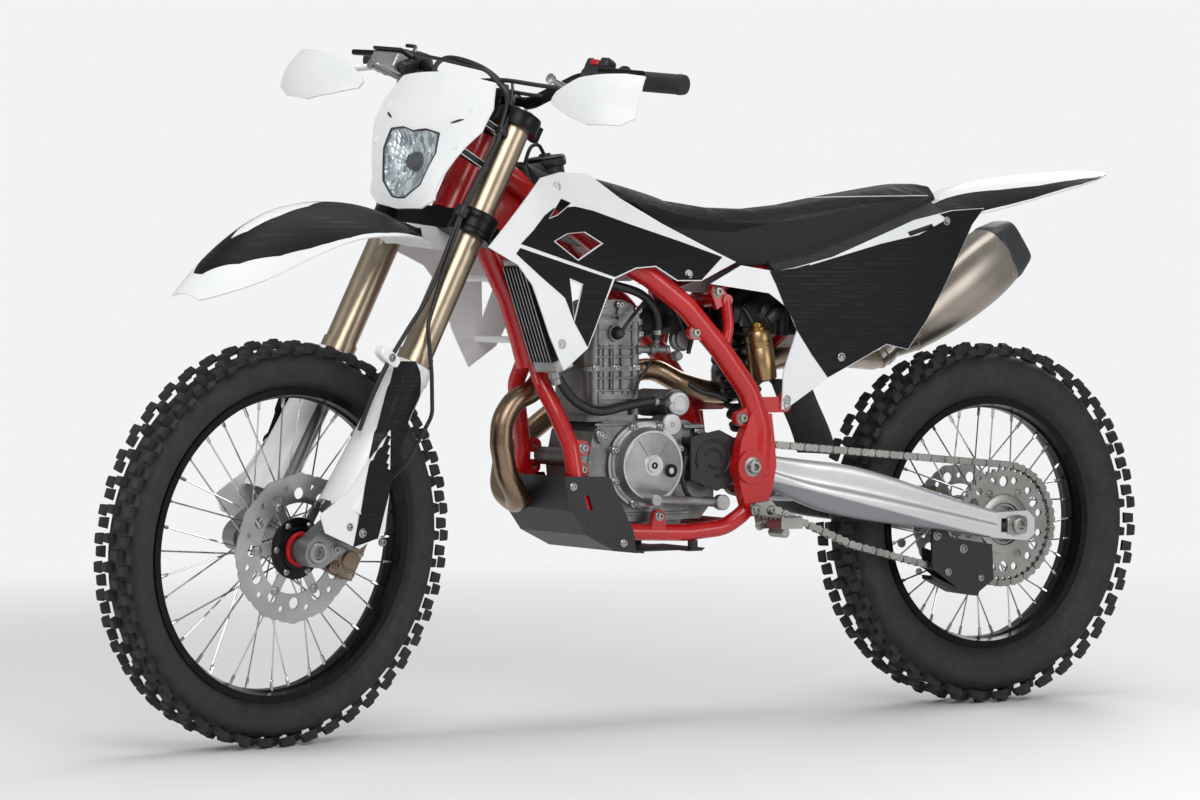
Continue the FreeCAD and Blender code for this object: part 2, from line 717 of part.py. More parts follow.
def chain_loop(offset):
    """The chain's pitch line in the XZ plane, grown by an offset; the lower run sags."""
    rear = pitch_radius(int(size("rear_teeth"))) + offset
    front = pitch_radius(int(size("front_teeth"))) + offset
    rear_centre = REAR_AXLE
    front_centre = OUTPUT_SHAFT
    way = front_centre - rear_centre
    slope = math.atan2(way.z, way.x)
    lean = math.asin((rear - front) / way.Length)
    up = slope + math.pi / 2 - lean
    rear_top = rear_centre + Vector(math.cos(up), 0, math.sin(up)) * rear
    front_top = front_centre + Vector(math.cos(up), 0, math.sin(up)) * front
    dip = Vector(345, 0, 309 - offset)
    rear_bottom = tangent_point(rear_centre, rear, dip, -1)
    front_bottom = tangent_point(front_centre, front, dip, 1)
    dip_arc_radius = 500 - offset
    back = (rear_bottom - dip).normalize()
    ahead = (front_bottom - dip).normalize()
    half_turn = (math.pi - back.getAngle(ahead)) / 2
    setback = dip_arc_radius * math.tan(half_turn)
    middle = dip + (back + ahead).normalize() * (dip_arc_radius / math.cos(half_turn)
                                                 - dip_arc_radius)
    edges = [
        Part.makeLine(rear_top, front_top),
        Part.Arc(front_top, front_centre + Vector(front, 0, 0), front_bottom).toShape(),
        Part.makeLine(front_bottom, dip + ahead * setback),
        Part.Arc(dip + ahead * setback, middle, dip + back * setback).toShape(),
        Part.makeLine(dip + back * setback, rear_bottom),
        Part.Arc(rear_bottom, rear_centre - Vector(rear, 0, 0), rear_top).toShape(),
    ]
    return Part.Wire(edges)


def tangent_point(centre, radius, outside, side):
    """Where a line from a point outside touches a circle, on its lower side."""
    way = outside - centre
    angle = math.atan2(way.z, way.x)
    open_angle = math.acos(radius / way.Length)
    turn = angle + side * open_angle
    return centre + Vector(math.cos(turn), 0, math.sin(turn)) * radius


def build_chain():
    half = size("chain_height") / 2
    line = size("chain_line")
    width = size("chain_width")
    outer = Part.Face(chain_loop(half))
    inner = Part.Face(chain_loop(-half))
    band = outer.cut(inner)
    band.translate(Vector(0, line - width / 2, 0))
    loop = band.extrude(Vector(0, width, 0))
    slot = Part.Face(chain_loop(-size("chain_roller_diameter") / 2)).cut(
        Part.Face(chain_loop(-half - 1)))
    slot_width = size("sprocket_thickness") + 1.4
    slot.translate(Vector(0, line - slot_width / 2, 0))
    loop = loop.cut(slot.extrude(Vector(0, slot_width, 0)))
    keep_shape("chain", largest(loop), CHASSIS)


def build_chain_guide():
    """The guide under the swingarm that the lower run passes through."""
    outline = [(178, 336), (150, 336), (140, 318), (40, 302), (36, 236), (70, 214), (120, 222),
               (178, 262)]
    cheek = side_plate(outline, 92.5, 98)
    back = side_plate(outline, 58 + 6, 67)
    floor = side_plate([(70, 214), (120, 222), (178, 248), (176, 240), (122, 214), (72, 206)],
                       64, 98)
    inner_cheek = back.common(side_plate([(180, 300), (90, 270), (90, 190), (180, 190)], 60, 70))
    arm = named("swingarm").Shape.copy()
    arm.Placement = Placement(Vector(0, 0, -GAP), Rotation())
    keep_shape("chain_guide", largest(joined([cheek, inner_cheek, floor]).cut(arm)), CHASSIS)


# Swingarm and shock.


def arm_section(x, middle, half_width, top, bottom):
    """An upright rounded rectangle across the swingarm's beam."""
    return oval_section(Vector(x, middle, (top + bottom) / 2), half_width, (top - bottom) / 2, 5)


def build_swingarm():
    beam = loft([
        arm_section(585, 75, 12, 482, 436), arm_section(530, 80, 12, 478, 418),
        arm_section(470, 92, 14, 470, 390),
        arm_section(400, 99, 14, 462, 368), arm_section(300, 104, 13, 440, 350),
        arm_section(160, 106, 12.5, 398, 332), arm_section(45, 107, 12.5, 366, 314)])
    fork_end = side_plate([(60, 362), (60, 316), (-28, 308), (-44, 320), (-44, 350), (-28, 364)],
                          96, 118)
    slot = side_plate([(34, 325), (34, 351), (-26, 351), (-26, 325)], 80, 130)
    boss = across(26, 66, 91, PIVOT.x, PIVOT.z)
    shock_ear = side_plate([(478, 440), (522, 440), (514, 478), (486, 478)], 14.3, 22)
    shock_eye = across(14, 14.3, 22, 500, 476)
    left = [beam, fork_end, boss, shock_ear, shock_eye]
    right = [mirrored(piece) for piece in left]
    cross = loft([oval_section(Vector(x, 0, z), 86, h, 4) for x, z, h in
                  ((446, 412, 20), (475, 420, 28), (520, 426, 28))])
    pivot_tube = across(25, -80, 80, PIVOT.x, PIVOT.z)
    whole = joined([cross, pivot_tube] + left + right)
    pivot_hole = across(size("pivot_diameter") / 2 + GAP, -150, 150, PIVOT.x, PIVOT.z)
    axle_slots = [slot, mirrored(slot)]
    keep_shape("swingarm", largest(whole.cut([pivot_hole] + axle_slots)), CHASSIS)
    pin = doc.addObject("Part::Cylinder", "swingarm_pin")
    bind(pin, Radius="Sizes.pivot_diameter / 2")
    pin.Height = 272
    keep(pin, "swingarm_pin", CHASSIS * Placement(PIVOT - Vector(0, 136, 0),
                                                  Rotation(X_AXIS, -90)))


def build_shock():
    """Coil-over shock with its reservoir, leaning forward from the arm to the frame."""
    top = Vector(596, 0, 760)
    bottom = Vector(500, 0, 476)
    way = (top - bottom).normalize()
    body = rod(bottom + way * 24, bottom + way * 70, 20)
    rod_part = rod(bottom + way * 60, top - way * 30, 8)
    damper = rod(bottom + way * 165, top - way * 24, 24)
    eye_top = across(15, -14, 14, top.x, top.z)
    fork_bottom = across(15, -14, 14, bottom.x, bottom.z)
    neck = rod(bottom, bottom + way * 30, 12)
    collar = rod(top - way * 60, top - way * 18, 16)
    throat = rod(top - way * 20, top, 12)
    coils = []
    for index in range(8):
        middle = bottom + way * (74 + index * 20)
        coils.append(Part.makeTorus(33, 6.5, middle, way))
    seats = [rod(bottom + way * 56, bottom + way * 72, 40),
             rod(bottom + way * 216, bottom + way * 228, 40)]
    bridge = Part.makeBox(36, 62, 22, Vector(552, 10, 692))
    reservoir = rod(Vector(537, 72, 614), Vector(553, 72, 706), 25)
    cap = rod(Vector(553, 72, 706), Vector(556, 72, 722), 12)
    spring = [rod(bottom + way * 70, bottom + way * 218, 33)]
    keep_shape("shock_absorber", joined([body, rod_part, damper, eye_top, fork_bottom, neck,
                                         collar, throat, bridge, reservoir, cap] + seats + coils + spring),
               CHASSIS)


def build_mud_flap():
    """The flexible flap between the shock and the rear tyre."""
    rows = []
    for y in spread(-62, 62, 5):
        bow = 10 * (y / 62) ** 2
        rows.append([Vector(424 + bow, y, 612), Vector(404 + bow, y, 570), Vector(378 + bow, y, 520),
                     Vector(362 + bow, y, 475)])
    stay = rod(Vector(426, 56, 604), Vector(445, 81.6, 633), 5)
    keep_shape("mud_flap", joined([moulded_sheet(rows, 3), stay, mirrored(stay)]), CHASSIS)


# Exhaust.


SILENCER_START = Vector(100, -148, 668)
SILENCER_WAY = Vector(-270, -6, 187).normalize()


def header_line():
    """The header: out of the port, round in front of the engine, back along the right side."""
    return [
        Vector(926.4, 0, 663.6), Vector(950, 0, 640), Vector(978, 0, 600), Vector(1020, 0, 584),
        Vector(1045, 0, 548), Vector(1047, 0, 505), Vector(1036, 0, 452), Vector(1010, -6, 414),
        Vector(986, -50, 398), Vector(986, -108, 420), Vector(956, -142, 486), Vector(860, -142, 552),
        Vector(770, -104, 606), Vector(696, -68, 640), Vector(640, -64, 612), Vector(575, -65, 592),
        Vector(530, -62, 589), Vector(500, -54, 596), Vector(448, -44, 650), Vector(350, -62, 654),
        Vector(262, -78, 652), Vector(190, -118, 648),
        SILENCER_START - SILENCER_WAY * 42, SILENCER_START - SILENCER_WAY,
    ]


def build_exhaust():
    header = bent_bar(header_line(), 60, size("header_diameter") / 2)
    keep_shape("header_pipe", header, CHASSIS)
    start = SILENCER_START
    way = SILENCER_WAY
    length = size("silencer_length")
    lean = math.degrees(math.atan2(way.z, -way.x))
    pipe = size("header_diameter") / 2
    sleeve = rod(start - way * 24, start + way * 8, pipe + 4)
    sleeve_bore = rod(start - way * 25, start, pipe + GAP)
    sections = []
    for share, half_width, half_height in ((0, 22, 22), (0.12, 34, 38), (0.3, 46, 52), (0.88, 50, 58),
                                           (1, 38, 46)):
        sections.append(oval_section(start + way * (length * share), half_width, half_height, 3,
                                     lean=lean))
    keep_shape("silencer", joined([loft(sections), sleeve]).cut(sleeve_bore), CHASSIS)


# Radiator.


def build_radiator():
    """The core with its guard slats and tanks, leaned back on the left of the downtube."""
    core = Part.makeBox(30, 72, 176, Vector(-15, -36, -88))
    top = Part.makeBox(34, 72, 12, Vector(-17, -36, 88))
    bottom = Part.makeBox(34, 72, 20, Vector(-17, -36, -108))
    slats = [Part.makeBox(8, 2, 176, Vector(14, y - 1, -88)) for y in spread(-33, 33, 7)]
    block = joined([core, top, bottom] + slats)
    block.Placement = Placement(Vector(1028, 94, 742), Rotation(Y_AXIS, 19))
    tube = size("downtube_diameter") / 2
    stays = [across(7, tube + GAP, 62, x, z) for x, z in ((1048, 799), (1003, 690))]
    keep_shape("radiator", joined([block] + stays), CHASSIS)


# Bodywork.


def shroud_surface(x, z):
    """How far the tank shroud stands out at a point: widest low at the front."""
    forward = (x - 620) / 545
    height = (z - 640) / 345
    drop = 72 * max(height, 0) ** 2.2 * (1 - 0.5 * max(forward, 0) ** 2)
    return 124 + 60 * max(forward, 0) ** 1.1 - drop


SHROUD_OUTLINE = [
    (1172, 852), (1038, 973), (990, 984), (925, 982), (863, 940), (777, 896),
    (700, 862), (620, 828), (704, 794), (758, 794), (803, 819), (848, 816),
    (898, 798), (926, 752), (965, 677), (1018, 639), (1048, 700), (1081, 787),
    (1110, 822),
]
SHROUD_VENT = [(1024, 863), (994, 876), (956, 879), (920, 860), (977, 831)]
SHROUD_SLOT = [(1031, 903), (998, 938), (976, 930), (1011, 909)]
SHROUD_SLIT = [(998, 796), (972, 787), (993, 726)]


def moulded_side(surface, x_range, z_range, outline, openings):
    """A left body panel: a smooth sheet y = f(x, z), trimmed to its outline and vents."""
    rows = [[Vector(x, surface(x, z), z) for z in spread(z_range[0], z_range[1], 6)]
            for x in spread(x_range[0], x_range[1], 7)]
    sheet_solid = moulded_sheet(rows, size("panel_thickness"))
    trimmed = sheet_solid.common(side_plate(outline, 0, 260))
    for opening in openings:
        trimmed = trimmed.cut(side_plate(opening, 0, 260))
    return largest(trimmed)


def build_shrouds():
    left = moulded_side(shroud_surface, (600, 1180), (620, 1000), SHROUD_OUTLINE,
                        [SHROUD_VENT, SHROUD_SLOT, SHROUD_SLIT])
    places = [(1050, 800), (1013, 696)]
    short = [across(8, 130 + GAP, shroud_surface(x, z) - 1, x, z) for x, z in places]
    tube = size("downtube_diameter") / 2
    long = [across(6, tube + GAP, shroud_surface(x, z) - 1, x, z) for x, z in
            ((1048, 799), (1003, 690))]
    right = mirrored(joined([left] + long))
    keep_shape("tank_shrouds", Part.makeCompound([joined([left] + short), right]), CHASSIS)


def build_fuel_tank():
    sections = [
        oval_section(Vector(1012, 0, 984), 40, 20, 3), oval_section(Vector(980, 0, 956), 60, 34, 3),
        oval_section(Vector(900, 0, 912), 62, 50, 3), oval_section(Vector(820, 0, 893), 60, 42, 3),
        oval_section(Vector(752, 0, 868), 52, 36, 3)]
    cap_axis = Vector(0.16, 0, 1).normalize()
    cap = Part.makeCylinder(31, 30, Vector(950, 0, 976), cap_axis)
    frame_room = [bent_bar(points, 90, size("frame_tube_diameter") / 2 + GAP)
                  for points in (upper_line(1), upper_line(-1))]
    keel_room = side_plate([(1200, 800), (940, 800), (960, 960), (1200, 1000)], -12, 12)
    whole = joined([loft(sections), cap]).cut(frame_room + [keel_room])
    keep_shape("fuel_tank", largest(whole), CHASSIS)


def seat_section(x, top, bottom, hem, half_top, half_bottom):
    """A closed seat section: crowned top, and sides that hang past the base to their hem."""
    left = [
        Vector(x, half_top * 0.7, top - 4), Vector(x, half_top, top - 18),
        Vector(x, half_bottom, hem + 4), Vector(x, half_bottom - 2, hem),
        Vector(x, half_bottom - 9, hem), Vector(x, half_bottom - 11, bottom)]
    right = [Vector(x, -point.y, point.z) for point in reversed(left)]
    crown = Vector(x, 0, top)
    return Part.makePolygon([crown] + left + [Vector(x, 0, bottom)] + right + [crown])


def build_seat():
    sections = [
        seat_section(872, 984, 958, 955, 30, 44), seat_section(800, 964, 934, 926, 48, 60),
        seat_section(716, 936, 898, 856, 64, 78), seat_section(629, 924, 866, 820, 74, 92),
        seat_section(542, 922, 856, 821, 80, 98), seat_section(454, 931, 862, 838, 84, 100),
        seat_section(342, 951, 884, 876, 84, 96), seat_section(229, 969, 922, 916, 74, 82),
        seat_section(140, 979, 948, 944, 50, 56)]
    keep_shape("seat", Part.makeLoft(sections, True, True), CHASSIS)


def panel_surface(x, z):
    """How far the number panel stands out: fullest at its middle, narrowing to the tail."""
    tail = max((330 - x) / 330, 0)
    drop = (z - 760) / 190
    return 124 - 26 * tail ** 1.3 - 8 * drop ** 2


SIDE_PANEL_OUTLINE = [
    (686, 789), (620, 822), (552, 812), (505, 818), (420, 838), (330, 871), (232, 906),
    (140, 925), (60, 930), (91, 899), (167, 778), (205, 723), (249, 668), (299, 678), (429, 618),
    (507, 570), (527, 562), (527, 630), (499, 706), (521, 746), (560, 772),
]
PANEL_SLOT = [(250, 884), (190, 900), (184, 892), (244, 876)]


def build_side_panels():
    left = moulded_side(panel_surface, (40, 700), (540, 945), SIDE_PANEL_OUTLINE, [PANEL_SLOT])
    low_post = across(7, 98 + GAP, panel_surface(450, 640) - 1, 450, 640)
    high_post = across(6, 77, panel_surface(300, 868) - 1, 300, 868)
    keep_shape("side_panels", pair(joined([left, low_post, high_post])), CHASSIS)


def fender_rows(line, half_widths, drops, columns=7):
    """Cross rows of an arched fender: z falls by a square law from the crown to each edge."""
    rows = []
    for (x, z), half, drop in zip(line, half_widths, drops):
        rows.append([Vector(x, y, z - drop * (y / half) ** 2)
                     for y in spread(-half, half, columns)])
    return rows


def build_rear_fender():
    line = [(150, 936), (60, 972), (-60, 992), (-190, 1003), (-283, 1004)]
    rows = fender_rows(line, [74, 96, 92, 74, 30], [20, 50, 44, 26, 3])
    foot = size("subframe_tube_diameter") / 2 + GAP
    posts = [Part.makeCylinder(9, 946 - 897 - foot, Vector(118, side * 30, 897 + foot), Z_AXIS)
             for side in SIDES]
    keep_shape("rear_fender", joined([moulded_sheet(rows, 4)] + posts), CHASSIS)


def build_front_fender():
    """The high front fender, bolted under the lower clamp and turning with it."""
    clamp = steering_point(size("lower_clamp_height"))
    line = [(clamp.x + x, clamp.z + z) for x, z in (
        (546, -113), (506, -65), (434, -9), (354, 27), (274, 38), (194, 33), (124, 11), (69, -31))]
    rows = fender_rows(line, [36, 60, 80, 88, 90, 88, 80, 66], [8, 42, 72, 74, 58, 44, 26, 4])
    top = size("lower_clamp_height") - size("clamp_thickness") / 2 - GAP
    tower = side_plate([(-16, top), (46, top), (108, top - 22.7), (100, top - 29.7),
                        (48, top - 40.7), (16, top - 30.7)], -44, 44)
    tower.Placement = Placement(STEERING_FOOT, Rotation(Y_AXIS, -size("rake")))
    keep_shape("front_fender", joined([moulded_sheet(rows, -4), tower]), TURNED)


def build_skid_plate():
    """The bent plate under the engine, with wings up both sides of the cradle."""
    outer = [(984, 452), (972, 392), (940, 348), (880, 318), (820, 312), (664, 312)]
    inner = [(664, 315), (819, 315), (878, 321), (937, 351), (968.5, 393), (980, 452)]
    belly = side_plate(outer + inner, -70, 70)
    wing_outline = outer[:4] + [(835, 313), (842, 352), (892, 450)]
    slot = side_plate([(934, 418), (944, 418), (936, 392), (926, 392)], 109, 114)
    wing = side_plate(wing_outline, 110, 113).cut(slot)
    corner = side_plate(outer[:5] + inner[1:], 70, 113)
    plate = joined([belly, wing, mirrored(wing), corner, mirrored(corner)])
    pipe_room = bent_bar(header_line()[5:11], 60, size("header_diameter") / 2 + 4)
    strap = Part.makeBox(30, 208, 3, Vector(690, -104, 312))
    rests = []
    for side in SIDES:
        rests.append(Part.makeCylinder(9, 17.6, Vector(705, side * 94, 313.5), Z_AXIS))
        rests.append(Part.makeCylinder(9, 19, Vector(843, side * 92, 315.5), Z_AXIS))
    cradle_room = [bent_bar(points, 70, size("cradle_tube_diameter") / 2 + GAP) for points in
                   (cradle_line(), [Vector(p.x, -p.y, p.z) for p in cradle_line()])]
    whole = joined([plate, strap] + rests).cut([pipe_room] + cradle_room)
    keep_shape("skid_plate", largest(whole), CHASSIS)


# Controls on the chassis.


def build_footpegs():
    bracket = side_plate([(600, 396), (566, 400), (540, 372), (545, 350), (590, 350)], 126 + GAP, 140)
    peg = Part.makeBox(46, 66, 14, Vector(542, 138, 352))
    teeth = [Part.makeBox(46, 4, 6, Vector(542, y, 366)) for y in (142, 158, 174, 190, 200)]
    keep_shape("footpegs", pair(joined([bracket, peg] + teeth)), CHASSIS)


def build_foot_levers():
    shift = bent_bar([Vector(655, 104, 398), Vector(730, 112, 404), Vector(822, 138, 408)], 60, 7)
    knob = across(10, 130, 160, 822, 408)
    shaft = across(9, 64 + GAP, 116, 660, 398)
    brake = bent_bar([Vector(608, -136, 408), Vector(740, -146, 384), Vector(860, -150, 396)],
                     80, 7)
    pad = Part.makeBox(30, 30, 8, Vector(850, -166, 396))
    stub = across(9, -142, -126 - GAP, 608, 408)
    left = joined([shift, knob, shaft])
    right = joined([brake, pad, stub])
    keep_shape("foot_levers", Part.makeCompound([left, right]), CHASSIS)


def build_rear_caliper():
    """Caliper and its carrier bracket ahead of the axle on the right side."""
    offset = size("rear_disc_offset")
    centre = Vector(96, 0, 372)
    body = Part.makeBox(64, 30, 50, Vector(centre.x - 32, -offset - 15, centre.z - 16))
    slot = Part.makeBox(90, size("disc_thickness") + 6, 110,
                        Vector(centre.x - 60, -offset - size("disc_thickness") / 2 - 3,
                               centre.z - 60))
    cut = body.cut(slot)
    halves = [cut, Part.makeBox(12, 30, 50, Vector(centre.x + 32, -offset - 15, centre.z - 16))]
    bracket = side_plate([(-18, 360), (18, 316), (128, 350), (128, 376)], -90, -80)
    link = Part.makeBox(30, 14, 20, Vector(100, -90, 356))
    carrier = bracket.cut(across(13 + GAP, -100, -70, 0, REAR_AXLE.z))
    keep_shape("rear_caliper", largest(joined(halves + [carrier, link])), CHASSIS)


# Fork and what turns with it. These are drawn in the fork's frame, Z up the steering axis.


def upright(radius, x, y, bottom, top):
    """A round bar along the steering axis."""
    return Part.makeCylinder(radius, top - bottom, Vector(x, y, bottom), Z_AXIS)


def clamp_plate(height, thickness, front, depth):
    """A clamp: two split rings joined by a bridge."""
    half = size("fork_spacing") / 2
    tube = size("fork_tube_diameter") / 2
    x = size("clamp_offset")
    bottom = height - thickness / 2
    rings = [upright(tube + 11, x, side * half, bottom, bottom + thickness) for side in SIDES]
    bridge = top_plate([(front, -half), (front, half), (-10, half - 30), (depth, 26), (depth, -26),
                        (-10, 30 - half)], bottom, bottom + thickness)
    bosses = [Part.makeBox(24, 16, thickness, Vector(x - tube - 26, side * half - 8, bottom))
              for side in SIDES]
    plate = joined([bridge] + rings + bosses)
    bores = [upright(tube + GAP / 3, x, side * half, bottom - 1, bottom + thickness + 1)
             for side in SIDES]
    return plate.cut(bores)


def build_clamps():
    lower = clamp_plate(size("lower_clamp_height"), size("clamp_thickness"), 46, -34)
    upper = clamp_plate(size("upper_clamp_height"), size("upper_clamp_thickness"), 44, -30)
    lower_top = size("lower_clamp_height") + size("clamp_thickness") / 2
    upper_bottom = size("upper_clamp_height") - size("upper_clamp_thickness") / 2
    stem = upright(size("stem_diameter") / 2, 0, 0, size("lower_clamp_height"),
                   size("upper_clamp_height") + 24)
    seat_low = upright(26, 0, 0, lower_top - 2, HEAD_BOTTOM - GAP)
    seat_high = upright(26, 0, 0, HEAD_TOP + GAP, upper_bottom + 2)
    nut = upright(17, 0, 0, upper_bottom + 10, upper_bottom + 40)
    risers = [Part.makeBox(34, 26, 44, Vector(4, side * 48 - 13, upper_bottom + 20))
              for side in SIDES]
    whole = joined([lower, upper, stem, seat_low, seat_high, nut] + risers)
    bar_hole = across(size("bar_diameter") / 2 + GAP / 3, -120, 120, BAR_CENTRE.x, BAR_CENTRE.z)
    keep_shape("steering_clamps", whole.cut(bar_hole), FORK)


BAR_CENTRE = Vector(20, 0, size("upper_clamp_height") + 36)


def bar_point(x, y, above):
    """A point in the fork's frame, given by its height above the bar's middle."""
    return Vector(x, y, BAR_CENTRE.z + above)


def bar_line():
    """The left half of the handlebar, from its clamp to its end."""
    return [bar_point(20, 70, 0), bar_point(14, 110, 4), bar_point(14, 205, 58),
            bar_point(4, 262, 68), bar_point(-24, size("bar_half_width"), 80)]


def build_handlebar():
    thick = size("bar_diameter") / 2
    thin = size("grip_bar_diameter") / 2
    middle = across(thick, -72, 72, BAR_CENTRE.x, BAR_CENTRE.z)
    bend = bent_bar(bar_line(), 60, thin)
    shoulder = Part.makeSphere(thick, bar_point(20, 72, 0))
    keep_shape("handlebar", joined([middle, bend, shoulder, mirrored(bend),
                                    mirrored(shoulder)]), FORK)


def grip_way():
    """Start and direction of the left grip along the end of the bar."""
    end = bar_point(-24, size("bar_half_width"), 80)
    start = bar_point(4, 262, 68)
    return start, (end - start).normalize(), (end - start).Length


def build_grips():
    start, way, length = grip_way()
    radius = size("grip_diameter") / 2
    sleeve = Part.makeCylinder(radius, length - 40, start + way * 38, way)
    flange = Part.makeCylinder(radius + 6, 5, start + way * 34, way)
    cap = Part.makeCylinder(radius, 6, start + way * (length - 3), way)
    bore = Part.makeCylinder(size("grip_bar_diameter") / 2 + GAP / 3, length - 2 + GAP,
                             start + way * 2, way)
    left = joined([sleeve, flange, cap]).cut(bore)
    keep_shape("grips", pair(largest(left)), FORK)


def build_fork():
    half = size("fork_spacing") / 2
    x = size("clamp_offset")
    tube = size("fork_tube_diameter") / 2
    leg = size("fork_leg_diameter") / 2
    top = size("upper_clamp_height") + size("upper_clamp_thickness") / 2
    outer = upright(tube, x, half, size("fork_tube_bottom"), top)
    cap = upright(tube - 5, x, half, top, top + 5)
    wiper = upright(tube + 3, x, half, size("fork_tube_bottom") - 4, size("fork_tube_bottom") + 16)
    keep_shape("fork_tubes", pair(joined([outer, cap, wiper])), FORK)
    inner = upright(leg, x, half, 48, size("fork_tube_bottom") - 4 - GAP)
    foot = upright(leg + 6, x, half, 30, 78)
    lug = side_plate([(x - 24, 76), (x + 24, 76), (axle_x() + 24, 12), (axle_x() + 22, -16),
                      (axle_x() + 6, -26), (axle_x() - 22, -20), (x - 22, 34)], half - 20, half + 12)
    round_end = across(26, half - 20, half + 12, axle_x(), 0)
    bore = across(size("front_axle_diameter") / 2 + GAP / 3, 0, 200, axle_x(), 0)
    leg_solid = joined([inner, foot, lug, round_end]).cut(bore)
    keep_shape("fork_legs", pair(leg_solid), FORK)


def axle_x():
    """The front axle's place ahead of the steering axis, in the fork's frame."""
    return size("axle_offset")


def guard_ring_section(height, centre_x, half_y, radius, from_turn, to_turn, wall):
    """A C-shaped section round the fork leg, open towards the wheel."""
    centre = Vector(centre_x, half_y, height)
    turns = spread(math.radians(from_turn), math.radians(to_turn), 3)
    outer = [centre + Vector(math.cos(t), math.sin(t), 0) * (radius + wall) for t in turns]
    inner = [centre + Vector(math.cos(t), math.sin(t), 0) * radius for t in turns]
    return Part.Wire([Part.Arc(*outer).toShape(), Part.makeLine(outer[2], inner[2]),
                      Part.Arc(inner[2], inner[1], inner[0]).toShape(),
                      Part.makeLine(inner[0], outer[0])])


def build_fork_guards():
    half = size("fork_spacing") / 2
    x = size("clamp_offset")
    sections = [guard_ring_section(height, x + shift, half, radius, -70, 190, 3)
                for height, shift, radius in ((88, 14, 42), (180, 10, 38), (300, 4, 34),
                                              (364, 0, 33))]
    shell = loft(sections)
    ring_top = upright(37, x, half, 340, 366).cut(upright(33, x, half, 330, 380))
    shield = side_plate([(x - 30, 150), (x + 20, 240), (x + 50, 110), (x + 86, 52), (x + 60, 30),
                         (x - 20, 36), (x - 56, 84)], half + 39, half + 42)
    lip = side_plate([(x - 20, 130), (x + 22, 190), (x + 44, 110), (x + 30, 96)], half + 34, half + 40)
    foot = size("fork_leg_diameter") / 2 + 6
    boss = across(7, half + foot + GAP, half + 40, x, 60)
    left = joined([shell, ring_top, shield, lip, boss])
    keep_shape("fork_guards", pair(largest(left)), FORK)


DRAWN_CLAMP_SPACING = 202
MASK_SCALE = (size("upper_clamp_height") - size("lower_clamp_height")) / DRAWN_CLAMP_SPACING


def mask_height(above_clamp):
    """A height up the fork that keeps its share of the way between the two clamps."""
    return size("lower_clamp_height") + above_clamp * MASK_SCALE


def mask_surface(y, z):
    """How far ahead the mask stands: fullest above the lamp, falling back to both sides."""
    height = (z - mask_height(118)) / (114 * MASK_SCALE)
    crown = 142 - 9 * max(height, 0) ** 2 - 27 * max(-height, 0) ** 1.4
    return crown - 24 * (abs(y) / 146) ** 2.2


MASK_OUTLINE_LEFT = [(0, -18), (60, -12), (88, 6), (88, 30), (112, 78), (126, 104), (146, 136),
                     (147, 181), (125, 230), (0, 236)]
LENS_OUTLINE_LEFT = [(0, -2), (18, 0), (52, 25), (72, 82), (66, 118), (30, 122), (0, 116)]


def whole_outline(left_half):
    """Both halves of an outline, its heights given above the lower clamp's middle."""
    right_half = [(-y, above) for y, above in reversed(left_half[1:-1])]
    return [(y, mask_height(above)) for y, above in left_half + right_half]


def build_mask():
    rows = [[Vector(mask_surface(y, z), y, z)
             for z in spread(mask_height(-54), mask_height(266), 6)]
            for y in spread(-170, 170, 9)]
    sheet_solid = moulded_sheet(rows, -size("panel_thickness"))
    trimmed = sheet_solid.common(front_plate(whole_outline(MASK_OUTLINE_LEFT), 0, 220))
    window = front_plate(whole_outline(LENS_OUTLINE_LEFT), 0, 220)
    shell = largest(trimmed.cut(window))
    half = size("fork_spacing") / 2
    tube_front = size("clamp_offset") + size("fork_tube_diameter") / 2 + GAP
    straps = [Part.makeBox(mask_surface(half, height) - tube_front, 14, 12,
                           Vector(tube_front, side * half - 7, height))
              for side in SIDES for height in (mask_height(94), mask_height(161))]
    keep_shape("headlight_mask", joined([shell] + straps), FORK)
    scale = 0.985
    middle = mask_height(54)
    inset = [(y * scale, middle + (z - middle) * scale)
             for y, z in whole_outline(LENS_OUTLINE_LEFT)]
    lamp = front_plate(inset, 86, 220)
    face = moulded_sheet(rows, -30)
    keep_shape("headlight", largest(face.common(lamp)), FORK)


def build_hand_guards():
    outline = [(256, -18), (264, -6), (320, 18), (430, 33), (464, 35), (478, -2), (482, -42),
               (452, -58), (380, -64), (320, -50), (262, -30)]
    rows = [[bar_point(118 - 24 * (abs(y - 380) / 125) ** 1.8 - 15 * ((above + 8) / 56) ** 2, y, above)
             for above in spread(-72, 44, 5)] for y in spread(245, 490, 6)]
    window = [(y, BAR_CENTRE.z + above) for y, above in outline]
    shell = moulded_sheet(rows, -3).common(front_plate(window, 0, 200))
    stay = rod(bar_point(6, 258, 68), bar_point(104, 302, 0), 6)
    ring_start, way, length = grip_way()
    clamp = Part.makeCylinder(17, 10, ring_start + way * 2, way)
    bar_room = bent_bar(bar_line(), 60, size("grip_bar_diameter") / 2 + GAP / 3)
    left = joined([largest(shell), stay, clamp]).cut(bar_room)
    keep_shape("hand_guards", pair(largest(left)), FORK)


def build_bar_levers():
    """Perches, levers, the brake reservoir and the switch gear."""
    start, way, length = grip_way()
    perch = Part.makeCylinder(16, 12, start + way * 19, way)
    clear = Part.makeCylinder(size("grip_bar_diameter") / 2 + GAP / 3, 40, start + way * 10, way)
    arm = rod(start + way * 25 + Vector(10, 0, 0), start + way * 25 + Vector(44, 0, -6), 7)
    lever = bent_bar([start + way * 24 + Vector(44, 0, -6), start + way * 60 + Vector(52, 0, -10),
                      start + way * 130 + Vector(60, 0, -14)], 60, 6)
    left = joined([perch, arm, lever]).cut(clear)
    reservoir = Part.makeBox(46, 44, 30, bar_point(24, -286, 68))
    right = joined([mirrored(left), reservoir])
    keep_shape("bar_levers", Part.makeCompound([largest(left), largest(right)]), FORK)


